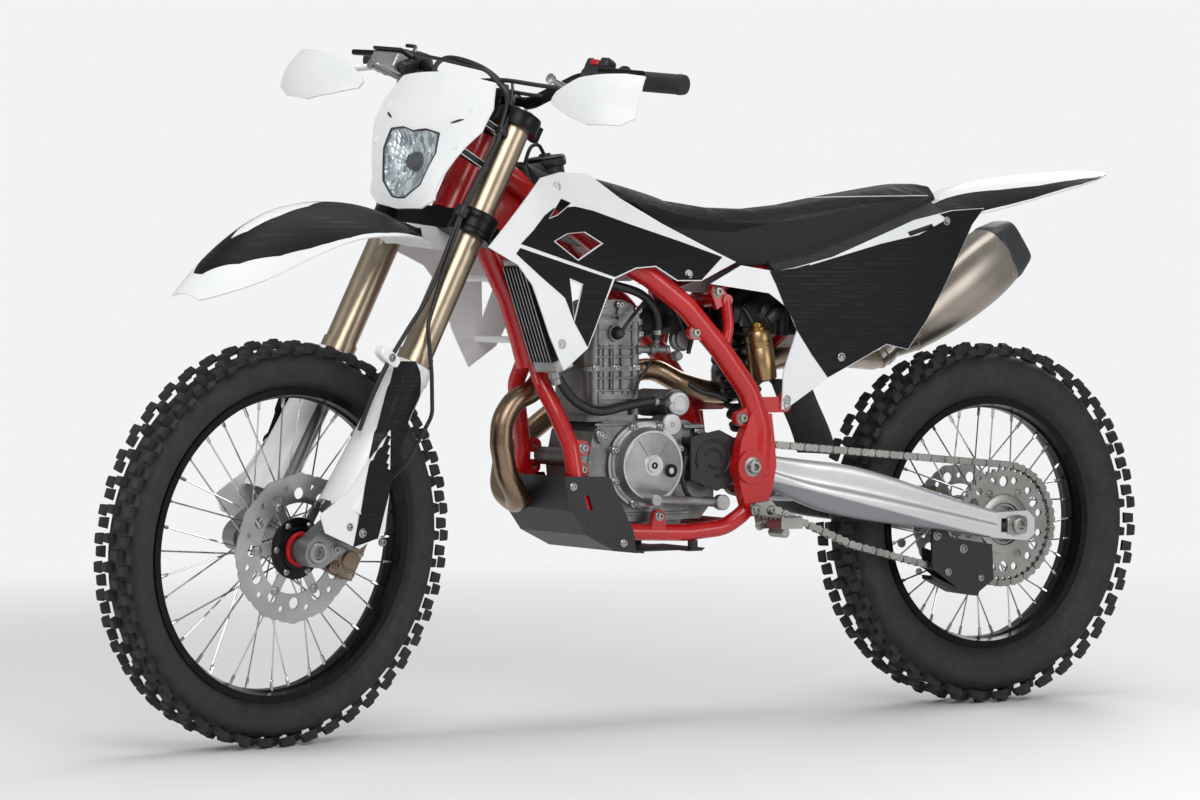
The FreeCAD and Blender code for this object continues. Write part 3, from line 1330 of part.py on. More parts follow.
def build_front_caliper():
    """Two-piston caliper behind the left fork foot, straddling the disc."""
    offset = size("front_disc_offset")
    body = Part.makeBox(56, 40, 96, Vector(-66, offset - 20, -6))
    slot = across(size("front_disc_diameter") / 2 + 4, offset - 5, offset + 5, axle_x(), 0)
    ear = Part.makeBox(30, 16, 26, Vector(-22, offset + 10, 44))
    foot_room = upright(size("fork_leg_diameter") / 2 + 6 + GAP, size("clamp_offset"),
                        size("fork_spacing") / 2, 0, 120)
    keep_shape("front_caliper", largest(joined([body, ear]).cut([slot, foot_room])), FORK)


def build_brake_hose():
    """The hose from the bar, down the left leg, to the caliper."""
    points = [bar_point(48, -241.7, 81), bar_point(49, -214, 80), bar_point(96, -150, 44),
              bar_point(110, -40, 30), bar_point(96, 62, 24), bar_point(68, 116, -10),
              Vector(60, 124, mask_height(136)), Vector(68, 125, mask_height(6)),
              Vector(58, 128, 520),
              Vector(54, 142, 430), Vector(20, 160, 360), Vector(-26, 150, 300),
              Vector(-48, 110, 210), Vector(-42, 70, 150), Vector(-40, 69, 90 + GAP)]
    keep_shape("brake_hose", bent_bar(points, 50, 3.5), FORK)


def build_everything():
    build_wheels()
    build_discs()
    build_rear_sprocket()
    build_axles()
    build_main_frame()
    build_subframe()
    build_crankcase()
    build_cylinder()
    build_side_covers()
    build_throttle_body()
    build_airbox()
    build_sprocket_cover()
    build_chain()
    build_swingarm()
    build_chain_guide()
    build_shock()
    build_mud_flap()
    build_exhaust()
    build_radiator()
    build_shrouds()
    build_fuel_tank()
    build_seat()
    build_side_panels()
    build_rear_fender()
    build_front_fender()
    build_skid_plate()
    build_footpegs()
    build_foot_levers()
    build_rear_caliper()
    build_clamps()
    build_handlebar()
    build_grips()
    build_fork()
    build_fork_guards()
    build_mask()
    build_hand_guards()
    build_bar_levers()
    build_front_caliper()
    build_brake_hose()


build_everything()
doc.recompute()

for thing in doc.Objects:
    if "Invalid" in thing.State or "Error" in thing.State:
        raise RuntimeError("%s failed: %s" % (thing.Label, thing.State))
for node in nodes:
    if node.Shape.isNull() or not node.Shape.isValid():
        raise RuntimeError("%s has no valid shape" % node.Label)

os.makedirs("parts", exist_ok=True)
for node in nodes:
    node.Shape.exportStep("parts/%s.step" % node.Label)
print("wrote", len(nodes), "sub-parts")
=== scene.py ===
"""Trail motorcycle: surfaces, materials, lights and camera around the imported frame."""
import json
import math

import bmesh
import bpy
import numpy as np
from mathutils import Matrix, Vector
from mathutils.geometry import delaunay_2d_cdt


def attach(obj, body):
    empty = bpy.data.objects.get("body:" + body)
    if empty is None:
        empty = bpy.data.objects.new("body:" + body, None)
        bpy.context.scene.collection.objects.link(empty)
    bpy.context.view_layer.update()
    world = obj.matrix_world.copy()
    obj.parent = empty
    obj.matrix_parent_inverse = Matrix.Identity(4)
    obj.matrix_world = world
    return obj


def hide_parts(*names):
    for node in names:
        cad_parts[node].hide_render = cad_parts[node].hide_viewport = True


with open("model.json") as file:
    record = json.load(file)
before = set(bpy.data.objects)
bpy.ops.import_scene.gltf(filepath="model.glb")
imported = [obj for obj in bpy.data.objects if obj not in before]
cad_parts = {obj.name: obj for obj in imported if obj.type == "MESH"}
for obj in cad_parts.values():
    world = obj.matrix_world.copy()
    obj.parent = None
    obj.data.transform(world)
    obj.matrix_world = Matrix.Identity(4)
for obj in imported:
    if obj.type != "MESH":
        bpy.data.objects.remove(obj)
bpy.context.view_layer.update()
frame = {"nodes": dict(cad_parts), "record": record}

# Where things are. Pieces are drawn in millimetres in one of five places: the bike as a whole
# (rear axle over x = 0, ground at z = 0), the front end standing straight, the raked fork, and
# each wheel about its own centre.

SEAT_POINT = np.array([540.0, 0.0, 922.0])
FRONT_AXLE = np.array([1500.0, 0.0, 347.0])
REAR_AXLE = np.array([0.0, 0.0, 338.0])
RAKE = math.radians(26.5)
STEERING_REST = math.radians(11.5)
AXLE_OFFSET = 57.0
FORK_UP = np.array([-math.sin(RAKE), 0.0, math.cos(RAKE)])
FORK_AHEAD = np.array([math.cos(RAKE), 0.0, math.sin(RAKE)])
FORK_AXES = np.array([FORK_AHEAD, [0.0, 1.0, 0.0], FORK_UP])
STEERING_FOOT = FRONT_AXLE - FORK_AHEAD * AXLE_OFFSET


def turn_matrix(axis, angle):
    """The matrix of a turn about an axis through zero."""
    x, y, z = axis
    cross = np.array([[0, -z, y], [z, 0, -x], [-y, x, 0]])
    return np.eye(3) + math.sin(angle) * cross + (1 - math.cos(angle)) * cross @ cross


STEER = turn_matrix(FORK_UP, STEERING_REST)


def bike(points):
    """Millimetres on the bike as a whole, as metres from the seat point."""
    return (np.asarray(points, float) - SEAT_POINT) / 1000


def straight(points):
    """Drawn with the bars straight ahead, then turned as they stand at rest."""
    return bike((np.asarray(points, float) - STEERING_FOOT) @ STEER.T + STEERING_FOOT)


def fork(points):
    """Drawn along the fork: X ahead, Z up the steering axis, zero beside the front axle."""
    return straight(np.asarray(points, float) @ FORK_AXES + STEERING_FOOT)


def front_wheel(points):
    """Drawn about the middle of the front axle."""
    return straight(np.asarray(points, float) + FRONT_AXLE)


def rear_wheel(points):
    """Drawn about the middle of the rear axle."""
    return bike(np.asarray(points, float) + REAR_AXLE)


# Making a material.


def linear(hex_text):
    """An sRGB hex colour as linear red, green, blue and alpha."""
    values = np.array([int(hex_text[i:i + 2], 16) for i in (1, 3, 5)]) / 255
    low = values / 12.92
    high = ((values + 0.055) / 1.055) ** 2.4
    return (*np.where(values <= 0.04045, low, high), 1.0)


def add(tree, kind, inputs=None, **settings):
    """A node with its settings; an input is given a value, or a link from another node's output."""
    node = tree.nodes.new(kind)
    for name, value in settings.items():
        setattr(node, name, value)
    for key, value in (inputs or {}).items():
        if isinstance(value, bpy.types.NodeSocket):
            tree.links.new(value, node.inputs[key])
        else:
            node.inputs[key].default_value = value
    return node


def start_material(name, **sockets):
    """A material with its shader, the shader's plain values, and Object coordinates."""
    material = bpy.data.materials.new(name)
    material.use_nodes = True
    tree = material.node_tree
    shader = tree.nodes["Principled BSDF"]
    for key, value in sockets.items():
        shader.inputs[key.replace("_", " ")].default_value = value
    place = add(tree, "ShaderNodeTexCoord").outputs["Object"]
    return material, tree, shader, place


def per_metre(millimetres):
    """The texture scale at which one cell is so many millimetres across."""
    return 1000 / millimetres


def mottle(tree, place, size_mm, first, last):
    """Noise with cells of a real size, spread between two values."""
    noise = add(tree, "ShaderNodeTexNoise", {"Vector": place, "Scale": per_metre(size_mm),
                                             "Detail": 3.0})
    # Nearly all of the noise lies between 0.3 and 0.7.
    return add(tree, "ShaderNodeMapRange", {"Value": noise.outputs["Fac"], "From Min": 0.3,
                                            "From Max": 0.7, "To Min": first,
                                            "To Max": last}).outputs["Result"]


def two_tones(tree, factor, first, last):
    """A blend of two sRGB colours."""
    blend = add(tree, "ShaderNodeMix", {"Factor": factor}, data_type="RGBA")
    blend.inputs["A"].default_value = linear(first)
    blend.inputs["B"].default_value = linear(last)
    return blend.outputs["Result"]


def relief(tree, shader, height, depth_mm, strength=1.0):
    """Bump from a height between 0 and 1, with its real depth."""
    bump = add(tree, "ShaderNodeBump", {"Height": height, "Distance": depth_mm / 1000,
                                        "Strength": strength})
    tree.links.new(bump.outputs["Normal"], shader.inputs["Normal"])


def link(tree, output, shader, socket):
    tree.links.new(output, shader.inputs[socket])


def clouded(tree, shader, place, size_mm, light, dark):
    """A colour that drifts between two close tones."""
    link(tree, two_tones(tree, mottle(tree, place, size_mm, 0, 1), light, dark), shader,
         "Base Color")


def grained(tree, shader, place, grain_mm, depth_mm, detail=2.0):
    """An even grain in relief, with its real size and depth."""
    grain = add(tree, "ShaderNodeTexNoise", {"Vector": place, "Scale": per_metre(grain_mm),
                                             "Detail": detail})
    relief(tree, shader, grain.outputs["Fac"], depth_mm)


def pebbled(tree, shader, place):
    """The pebble grain of gripper vinyl, with a gloss that wear has made a little uneven."""
    link(tree, mottle(tree, place, 12, 0.58, 0.72), shader, "Roughness")
    pebble = add(tree, "ShaderNodeTexVoronoi", {"Vector": place, "Scale": per_metre(1.8)})
    relief(tree, shader, pebble.outputs["Distance"], 0.14)


def brushing(tree, shader, place, along, line_mm, smoothest, roughest):
    """Fine lines drawn out along one direction, in the gloss and in a slight relief."""
    stretch = [1.0, 1.0, 1.0]
    stretch["XYZ".index(along)] = 0.03
    lines = add(tree, "ShaderNodeMapping", {"Vector": place, "Scale": stretch})
    streak = add(tree, "ShaderNodeTexNoise", {"Vector": lines.outputs["Vector"],
                                              "Scale": per_metre(line_mm), "Detail": 4.0})
    rough = add(tree, "ShaderNodeMapRange", {"Value": streak.outputs["Fac"],
                                             "To Min": smoothest, "To Max": roughest})
    link(tree, rough.outputs["Result"], shader, "Roughness")
    relief(tree, shader, streak.outputs["Fac"], 0.03, 0.6)


# The materials.


def moulded_plastic(name, colour, shade, roughness, grain_mm=0.0, grain_depth=0.0):
    """Injection-moulded polypropylene: coloured right through, with a nearly even gloss."""
    material, tree, shader, place = start_material(name, IOR=1.49)
    clouded(tree, shader, place, 90, colour, shade)
    link(tree, mottle(tree, place, 26, roughness * 0.97, roughness * 1.04), shader, "Roughness")
    if grain_mm:
        grained(tree, shader, place, grain_mm, grain_depth, 1.0)
    return material


def matt_graphic_vinyl():
    """Black printed vinyl film with faint dark grey dashes in rows, as the panels wear."""
    material, tree, shader, place = start_material("matt_graphic_vinyl", IOR=1.45,
                                                   Specular_IOR_Level=0.28)
    dash_length = 0.030
    row_height = 0.0075
    dash_height_share = 0.42
    shift_per_row = 0.37
    empty_share = 0.62
    apart = add(tree, "ShaderNodeSeparateXYZ", {"Vector": place})
    # A dash shows where noise sampled once for each row and length step runs high.
    row = add(tree, "ShaderNodeMath", {0: apart.outputs["Z"], 1: 1 / row_height},
              operation="MULTIPLY")
    row_index = add(tree, "ShaderNodeMath", {0: row.outputs[0]}, operation="FLOOR")
    in_row = add(tree, "ShaderNodeMath", {0: row.outputs[0]}, operation="FRACT")
    thin = add(tree, "ShaderNodeMath", {0: in_row.outputs[0], 1: dash_height_share},
               operation="LESS_THAN")
    shift = add(tree, "ShaderNodeMath", {0: row_index.outputs[0], 1: shift_per_row},
                operation="MULTIPLY")
    along = add(tree, "ShaderNodeMath", {0: apart.outputs["X"], 1: 1 / dash_length},
                operation="MULTIPLY")
    shifted = add(tree, "ShaderNodeMath", {0: along.outputs[0], 1: shift.outputs[0]},
                  operation="ADD")
    step = add(tree, "ShaderNodeMath", {0: shifted.outputs[0]}, operation="FLOOR")
    cell = add(tree, "ShaderNodeCombineXYZ", {"X": step.outputs[0], "Y": row_index.outputs[0]})
    chance = add(tree, "ShaderNodeTexWhiteNoise", {"Vector": cell.outputs["Vector"]},
                 noise_dimensions="3D")
    picked = add(tree, "ShaderNodeMath", {0: chance.outputs["Value"], 1: empty_share},
                 operation="GREATER_THAN")
    dash = add(tree, "ShaderNodeMath", {0: picked.outputs[0], 1: thin.outputs[0]},
               operation="MULTIPLY")
    link(tree, two_tones(tree, dash.outputs[0], "#08090b", "#121317"), shader, "Base Color")
    gloss = add(tree, "ShaderNodeMapRange", {"Value": dash.outputs[0], "To Min": 0.50,
                                             "To Max": 0.40})
    link(tree, gloss.outputs["Result"], shader, "Roughness")
    return material


def powder_coat_red():
    """Gloss powder coat on steel tube: bright red with fine orange peel."""
    material, tree, shader, place = start_material("powder_coat_red", IOR=1.5, Coat_Weight=0.4,
                                                   Coat_Roughness=0.12)
    clouded(tree, shader, place, 120, "#c20d10", "#ae080c")
    link(tree, mottle(tree, place, 14, 0.24, 0.34), shader, "Roughness")
    grained(tree, shader, place, 2.2, 0.05)
    return material


def cast_metal(name, light, dark, roughness, grain_mm=1.4, depth=0.16):
    """Sand-cast and bead-blasted alloy: dull grey with a fine even grain and darker hollows."""
    material, tree, shader, place = start_material(name, Metallic=0.85)
    clouded(tree, shader, place, 34, light, dark)
    link(tree, mottle(tree, place, 9, roughness * 0.85, roughness * 1.15), shader, "Roughness")
    grained(tree, shader, place, grain_mm, depth, 4.0)
    return material


def brushed_metal(name, light, dark, roughness, along):
    """Brushed or drawn metal: fine lines along one direction."""
    material, tree, shader, place = start_material(name, Metallic=1.0)
    clouded(tree, shader, place, 70, light, dark)
    brushing(tree, shader, place, along, 0.8, roughness * 0.7, roughness * 1.35)
    return material


def heat_tinted_header():
    """Stainless header: bronze where it runs hot, straw and grey further on."""
    material, tree, shader, place = start_material("heat_tinted_header", Metallic=1.0)
    apart = add(tree, "ShaderNodeSeparateXYZ", {"Vector": place})
    # The heat runs from the rear, 0.3 m behind the seat point, to the front bend.
    heat = add(tree, "ShaderNodeMapRange", {"Value": apart.outputs["X"], "From Min": -0.3,
                                            "From Max": 0.5})
    ramp = add(tree, "ShaderNodeValToRGB", {"Fac": heat.outputs["Result"]})
    ramp.color_ramp.elements[0].color = linear("#a89c8c")
    ramp.color_ramp.elements[1].color = linear("#8f7a66")
    middle = ramp.color_ramp.elements.new(0.62)
    middle.color = linear("#b59a7c")
    link(tree, ramp.outputs["Color"], shader, "Base Color")
    link(tree, mottle(tree, place, 18, 0.24, 0.38), shader, "Roughness")
    return material


def seat_vinyl(name, colour, shade):
    """Moulded rubber or vinyl: fine pebble grain with a low sheen."""
    material, tree, shader, place = start_material(name, IOR=1.5, Sheen_Weight=0.08)
    clouded(tree, shader, place, 60, colour, shade)
    pebbled(tree, shader, place)
    return material


def border_height(tree, across, outline):
    """The height of a drawn border line at a place along it; points are (x, z) in the bike's mm."""
    rear, front = 100.0, 900.0
    bottom, span = 700.0, 400.0
    node = tree.nodes.new("ShaderNodeFloatCurve")
    curve = node.mapping.curves[0]
    for index, (x, z) in enumerate(sorted(outline)):
        at = ((x - rear) / (front - rear), (z - bottom) / span)
        if index < 2:
            curve.points[index].location = at
        else:
            curve.points.new(*at)
    for point in curve.points:
        point.handle_type = "VECTOR"
    node.mapping.update()
    share = add(tree, "ShaderNodeMapRange", {
        "Value": across, "From Min": (rear - SEAT_POINT[0]) / 1000,
        "From Max": (front - SEAT_POINT[0]) / 1000})
    tree.links.new(share.outputs["Result"], node.inputs["Value"])
    return add(tree, "ShaderNodeMapRange", {
        "Value": node.outputs["Value"], "To Min": (bottom - SEAT_POINT[2]) / 1000,
        "To Max": (bottom + span - SEAT_POINT[2]) / 1000}).outputs["Result"]


def two_tone_seat():
    """Gripper vinyl, charcoal on the sides and the rolled edges, near black on the top band."""
    material, tree, shader, place = start_material("two_tone_seat_vinyl", IOR=1.45,
                                                   Specular_IOR_Level=0.28, Sheen_Weight=0.03)
    apart = add(tree, "ShaderNodeSeparateXYZ", {"Vector": place})
    x, z = apart.outputs["X"], apart.outputs["Z"]
    lower = border_height(tree, x, [(100, 956), (176, 950), (356, 930), (467, 911), (609, 881),
                                    (705, 887), (758, 894), (900, 990)])
    upper = border_height(tree, x, [(100, 951), (165, 951), (391, 948), (410, 1000), (660, 1000),
                                    (675, 921), (717, 930), (802, 945), (850, 968), (900, 990)])
    over = add(tree, "ShaderNodeMath", {0: z, 1: lower}, operation="GREATER_THAN")
    under = add(tree, "ShaderNodeMath", {0: z, 1: upper}, operation="LESS_THAN")
    band = add(tree, "ShaderNodeMath", {0: over.outputs[0], 1: under.outputs[0]},
               operation="MULTIPLY")
    cover = two_tones(tree, band.outputs[0], "#232427", "#0b0c0d")
    # A fine white line runs along the rear of the side, falling a little towards the front.
    line_height, line_fall, half_thickness = 0.02294, 0.0211, 0.0009
    line_middle, half_length = -0.2635, 0.1185
    slope = add(tree, "ShaderNodeMath", {0: x, 1: line_fall}, operation="MULTIPLY")
    level = add(tree, "ShaderNodeMath", {0: z, 1: slope.outputs[0]}, operation="ADD")
    on_line = add(tree, "ShaderNodeMath", {0: level.outputs[0], 1: line_height, 2: half_thickness},
                  operation="COMPARE")
    on_length = add(tree, "ShaderNodeMath", {0: x, 1: line_middle, 2: half_length},
                    operation="COMPARE")
    drawn = add(tree, "ShaderNodeMath", {0: on_line.outputs[0], 1: on_length.outputs[0]},
                operation="MULTIPLY")
    lined = add(tree, "ShaderNodeMix", {"Factor": drawn.outputs[0]}, data_type="RGBA")
    tree.links.new(cover, lined.inputs["A"])
    lined.inputs["B"].default_value = linear("#b9babc")
    link(tree, lined.outputs["Result"], shader, "Base Color")
    pebbled(tree, shader, place)
    return material


def lit_and_shaded_arm():
    """Satin extruded alloy: brighter over the beam's upper face as a painted highlight, greyer
    below its crease as painted shade.
    """
    material, tree, shader, place = start_material("satin_arm_alloy", Metallic=0.9)
    crease_rise, crease_height, half_blend = 0.246, -0.487, 0.002
    apart = add(tree, "ShaderNodeSeparateXYZ", {"Vector": place})
    slope = add(tree, "ShaderNodeMath", {0: apart.outputs["X"], 1: -crease_rise},
                operation="MULTIPLY")
    crease = add(tree, "ShaderNodeMath", {0: apart.outputs["Z"], 1: slope.outputs[0]},
                 operation="ADD")
    upper = add(tree, "ShaderNodeMapRange", {"Value": crease.outputs[0],
                                             "From Min": crease_height - half_blend,
                                             "From Max": crease_height + half_blend})
    # Painted light: the light tone over the upper face is a painted highlight, the grey below the
    # crease is painted shade.
    link(tree, two_tones(tree, upper.outputs["Result"], "#8b8c8e", "#d3d4d5"), shader,
         "Base Color")
    brushing(tree, shader, place, "X", 0.9, 0.3, 0.46)
    return material


def tyre_rubber():
    """Carbon-black tyre compound: matt, a little grey and dusty on the walls."""
    material, tree, shader, place = start_material("tyre_rubber", IOR=1.52)
    clouded(tree, shader, place, 40, "#1c1c1d", "#28282a")
    link(tree, mottle(tree, place, 10, 0.62, 0.82), shader, "Roughness")
    grained(tree, shader, place, 1.6, 0.2, 5.0)
    return material


def clear_lens():
    """Clear polycarbonate shell: seen straight through, glossier at a glancing view."""
    polycarbonate_ior = 1.58
    material, tree, shader, place = start_material("clear_lens", IOR=polycarbonate_ior)
    shader.inputs["Base Color"].default_value = linear("#dfe4e7")
    link(tree, mottle(tree, place, 8, 0.03, 0.06), shader, "Roughness")
    see_through = add(tree, "ShaderNodeBsdfTransparent", {"Color": linear("#f7fafb")})
    gloss = add(tree, "ShaderNodeFresnel", {"IOR": polycarbonate_ior})
    facing = add(tree, "ShaderNodeNewGeometry")
    outer = add(tree, "ShaderNodeMath", {0: 1.0, 1: facing.outputs["Backfacing"]},
                operation="SUBTRACT")
    share = add(tree, "ShaderNodeMath", {0: gloss.outputs["Fac"], 1: outer.outputs[0]},
                operation="MULTIPLY")
    either = add(tree, "ShaderNodeMixShader", {"Fac": share.outputs[0],
                                               1: see_through.outputs["BSDF"],
                                               2: shader.outputs["BSDF"]})
    tree.links.new(either.outputs["Shader"], tree.nodes["Material Output"].inputs["Surface"])
    return material


def metallised_reflector():
    """Vacuum-metallised lamp bowl: facets about 11 mm across, each at its own slant, and each
    painted its own tone from grey to white as a painted reflection.
    """
    material, tree, shader, place = start_material("metallised_reflector", Metallic=0.35,
                                                   Roughness=0.16)
    squeeze = add(tree, "ShaderNodeMapping", {"Vector": place, "Scale": (1.0, 1.6, 0.7)})
    facets = add(tree, "ShaderNodeTexVoronoi", {"Vector": squeeze.outputs["Vector"],
                                                "Scale": per_metre(11)})
    apart = add(tree, "ShaderNodeSeparateColor", {"Color": facets.outputs["Color"]})
    # Painted reflection: each facet's tone, grey to white, stands for what it reflects.
    link(tree, two_tones(tree, apart.outputs["Red"], "#7d8389", "#ffffff"), shader, "Base Color")
    relief(tree, shader, facets.outputs["Distance"], 1.5)
    return material


def radiator_fins():
    """Black-coated radiator core: fins 5.9 mm apart, drawn coarse so they show, in relief and with
    painted shade in the darker bands between them, dull sheen.
    """
    material, tree, shader, place = start_material("radiator_fins", Metallic=0.4, Roughness=0.5)
    # The wave node's bands repeat every 2 pi / 20 of its scaled coordinate.
    rows = add(tree, "ShaderNodeTexWave", {"Vector": place,
                                           "Scale": 2 * math.pi / 20 * per_metre(5.919)},
               bands_direction="Z")
    # The darker bands between the fins are painted shade; the relief below is the fins' own.
    link(tree, two_tones(tree, rows.outputs["Fac"], "#0c0c0d", "#1c1c1d"), shader, "Base Color")
    relief(tree, shader, rows.outputs["Fac"], 0.3)
    return material


FINISH = {
    "white_plastic": moulded_plastic("white_polypropylene", "#eceded", "#e5e7e8", 0.3),
    "black_plastic": moulded_plastic("black_polypropylene", "#17181a", "#1e1f22", 0.46, 0.9, 0.08),
    "grey_plastic": moulded_plastic("grey_polypropylene", "#3a3b3e", "#434448", 0.42, 0.9, 0.08),
    "graphic": matt_graphic_vinyl(),
    "frame_paint": powder_coat_red(),
    "engine_alloy": cast_metal("sand_cast_alloy", "#8b8c8b", "#6c6d6c", 0.46),
    "silver_cover": cast_metal("die_cast_cover", "#b9babb", "#a2a3a4", 0.36, 1.0, 0.06),
    "steel": brushed_metal("zinc_plated_steel", "#a9a8a4", "#8f8e8a", 0.32, "Y"),
    "titanium": brushed_metal("brushed_titanium", "#b3aaa0", "#a0978d", 0.33, "Y"),
    "header": heat_tinted_header(),
    "radiator_alloy": radiator_fins(),
    "seat_cover": two_tone_seat(),
    "lever_alloy": cast_metal("forged_lever_alloy", "#a8a8a6", "#919190", 0.38, 1.6, 0.05),
    "arm_alloy": lit_and_shaded_arm(),
    "shock_parts": moulded_plastic("shock_black_coating", "#151515", "#1d1d1d", 0.35),
    "flap_rubber": seat_vinyl("moulded_rubber", "#161616", "#1e1e1e"),
    "caliper_alloy": cast_metal("bronze_anodised_caliper", "#8c7a67", "#77685a", 0.4, 1.2, 0.06),
    "black_alloy": cast_metal("black_anodised_alloy", "#1a1a1b", "#252526", 0.34, 1.2, 0.04),
    "fork_anodising": brushed_metal("champagne_anodised_tube", "#b3a48f", "#9c8d79", 0.3, "Z"),
    "grip_rubber": seat_vinyl("grip_rubber", "#141414", "#1b1b1b"),
    "lamp_glass": clear_lens(),
    "reflector": metallised_reflector(),
    "hose_rubber": moulded_plastic("hose_rubber", "#141416", "#1b1b1e", 0.4),
    "tyre": tyre_rubber(),
    "rim_anodising": cast_metal("black_anodised_rim", "#161617", "#202021", 0.3, 1.0, 0.02),
    "hub_alloy": cast_metal("machined_hub_alloy", "#b2b2b0", "#9c9c9a", 0.33, 1.0, 0.04),
    "disc_steel": brushed_metal("ground_disc_steel", "#b4b3b0", "#9d9c99", 0.3, "Z"),
    "chrome": brushed_metal("hard_chrome", "#c9cacc", "#bdbec0", 0.12, "Z"),
    "gold": brushed_metal("gold_anodised_alloy", "#a98f68", "#937a55", 0.3, "Z"),
    "red_plastic": moulded_plastic("red_moulding", "#c0141a", "#ad1016", 0.3),
    "rod_black": moulded_plastic("black_spring_coating", "#121213", "#1a1a1b", 0.3),
    "brass": brushed_metal("brass_cap", "#b08a4a", "#94713a", 0.3, "Z"),
    "carbon_cap": moulded_plastic("dark_moulded_end_cap", "#3b3c3f", "#2e2f32", 0.4, 0.8, 0.05),
}

for node_name, node_object in frame["nodes"].items():
    slot_name = next(part["material_slot"] for part in frame["record"]["subparts"]
                     if part["node"] == node_name)
    node_object.data.materials.clear()
    node_object.data.materials.append(FINISH[slot_name])
frame["nodes"]["header_pipe"].data.materials[0] = FINISH["header"]
frame["nodes"]["front_axle"].data.materials[0] = FINISH["steel"]


# Making a mesh.

# A direction that no path or axis here runs along, to start a section's first side from.
ASKEW = [0.31, 0.17, 0.94]


def grid_faces(rows, columns, close_rows=False, close_columns=False):
    """Quads over a grid of points counted row by row; either way may close on itself."""
    down = np.arange(rows if close_rows else rows - 1)
    along = np.arange(columns if close_columns else columns - 1)
    i, j = np.meshgrid(down, along, indexing="ij")
    below, beyond = (i + 1) % rows, (j + 1) % columns
    quads = np.stack([i * columns + j, i * columns + beyond, below * columns + beyond,
                      below * columns + j], -1)
    return quads.reshape(-1, 4)


def mesh_points(mesh):
    """A mesh's points as an array."""
    found = np.empty(3 * len(mesh.vertices))
    mesh.vertices.foreach_get("co", found)
    return found.reshape(-1, 3)


def piece(name, points, faces, body, finish, slot=None, replaced=(), smooth=True,
          recalculated=True):
    """Puts a finished mesh, in metres in the row's frame, on its body, its faces outward."""
    mesh = bpy.data.meshes.new(name)
    mesh.from_pydata(np.asarray(points, float).tolist(), [], [list(map(int, f)) for f in faces])
    mesh.validate()
    if recalculated:
        shape = bmesh.new()
        shape.from_mesh(mesh)
        bmesh.ops.recalc_face_normals(shape, faces=shape.faces)
        shape.to_mesh(mesh)
        shape.free()
    mesh.polygons.foreach_set("use_smooth", np.full(len(mesh.polygons), smooth))
    if smooth:
        mesh.set_sharp_from_angle(angle=math.radians(38))
    made = bpy.data.objects.new(name, mesh)
    bpy.context.scene.collection.objects.link(made)
    mesh.materials.append(FINISH[finish])
    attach(made, body)
    if replaced:
        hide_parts(*replaced)
    return made


def merged(mesh):
    """A working copy of a CAD node's mesh, with its loose triangles joined."""
    shape = bmesh.new()
    shape.from_mesh(mesh)
    bmesh.ops.remove_doubles(shape, verts=shape.verts, dist=0.00001)
    return shape


def apply_modifiers(thing):
    """Puts what the modifiers make into the object's own mesh."""
    made = thing.evaluated_get(bpy.context.evaluated_depsgraph_get())
    thing.data = bpy.data.meshes.new_from_object(made)
    thing.modifiers.clear()


def together(parts):
    """Several (points, faces) pairs as one."""
    points, faces, count = [], [], 0
    for part_points, part_faces in parts:
        points.append(part_points)
        faces.extend((np.asarray(face) + count).tolist() for face in part_faces)
        count += len(part_points)
    return np.concatenate(points), faces


def copies(points, faces, matrices, shifts):
    """The same mesh put down many times: every copy is points times its matrix plus its shift."""
    placed = np.einsum("nij,pj->npi", np.asarray(matrices), points) + np.asarray(shifts)[:, None]
    all_faces = [face + step * len(points) for step in range(len(shifts))
                 for face in map(np.asarray, faces)]
    return placed.reshape(-1, 3), all_faces


def ring(centre, u, v, squareness=2.0, count=24):
    """A closed superellipse: centre + |cos|^(2/s) u + |sin|^(2/s) v, with their signs."""
    turn = np.linspace(0, 2 * math.pi, count, endpoint=False)
    c, s = np.cos(turn), np.sin(turn)
    a = np.sign(c) * np.abs(c) ** (2 / squareness)
    b = np.sign(s) * np.abs(s) ** (2 / squareness)
    offset = a[:, None] * np.asarray(u, float) + b[:, None] * np.asarray(v, float)
    return np.asarray(centre, float) + offset


def lofted(rings):
    """Rings of as many points each, joined in turn and closed at both ends."""
    count = len(rings[0])
    faces = list(grid_faces(len(rings), count, close_columns=True))
    last = (len(rings) - 1) * count
    return np.concatenate(rings), faces + [list(range(count))[::-1],
                                           list(range(last, last + count))]


def looped(rings):
    """Rings joined in turn, and the last to the first, as a closed hoop."""
    return np.concatenate(rings), list(grid_faces(len(rings), len(rings[0]), True, True))


def run_round(outline):
    """A closed flat outline with its first point again at the end, and each point's run."""
    closed = np.concatenate([outline, outline[:1]])
    return closed, np.concatenate([[0], np.cumsum(np.hypot(*np.diff(closed, axis=0).T))])


def evenly(outline, count):
    """Evenly spaced points round a closed flat outline."""
    closed, run = run_round(outline)
    at = np.linspace(0, run[-1], count, endpoint=False)
    return np.column_stack([np.interp(at, run, closed[:, k]) for k in (0, 1)])


def smooth_path(points, count):
    """A smooth curve through every point, sampled evenly.

    Each stretch is a cubic set by its two ends and by the points before and after them.
    """
    points = np.asarray(points, float)
    padded = np.concatenate([[2 * points[0] - points[1]], points, [2 * points[-1] - points[-2]]])
    t = np.linspace(0, len(points) - 1 - 1e-9, count)
    step = t.astype(int)
    u = (t - step)[:, None]
    p0, p1, p2, p3 = (padded[step + k] for k in range(4))
    return 0.5 * (2 * p1 + (p2 - p0) * u + (2 * p0 - 5 * p1 + 4 * p2 - p3) * u ** 2
                  + (3 * p1 - p0 - 3 * p2 + p3) * u ** 3)


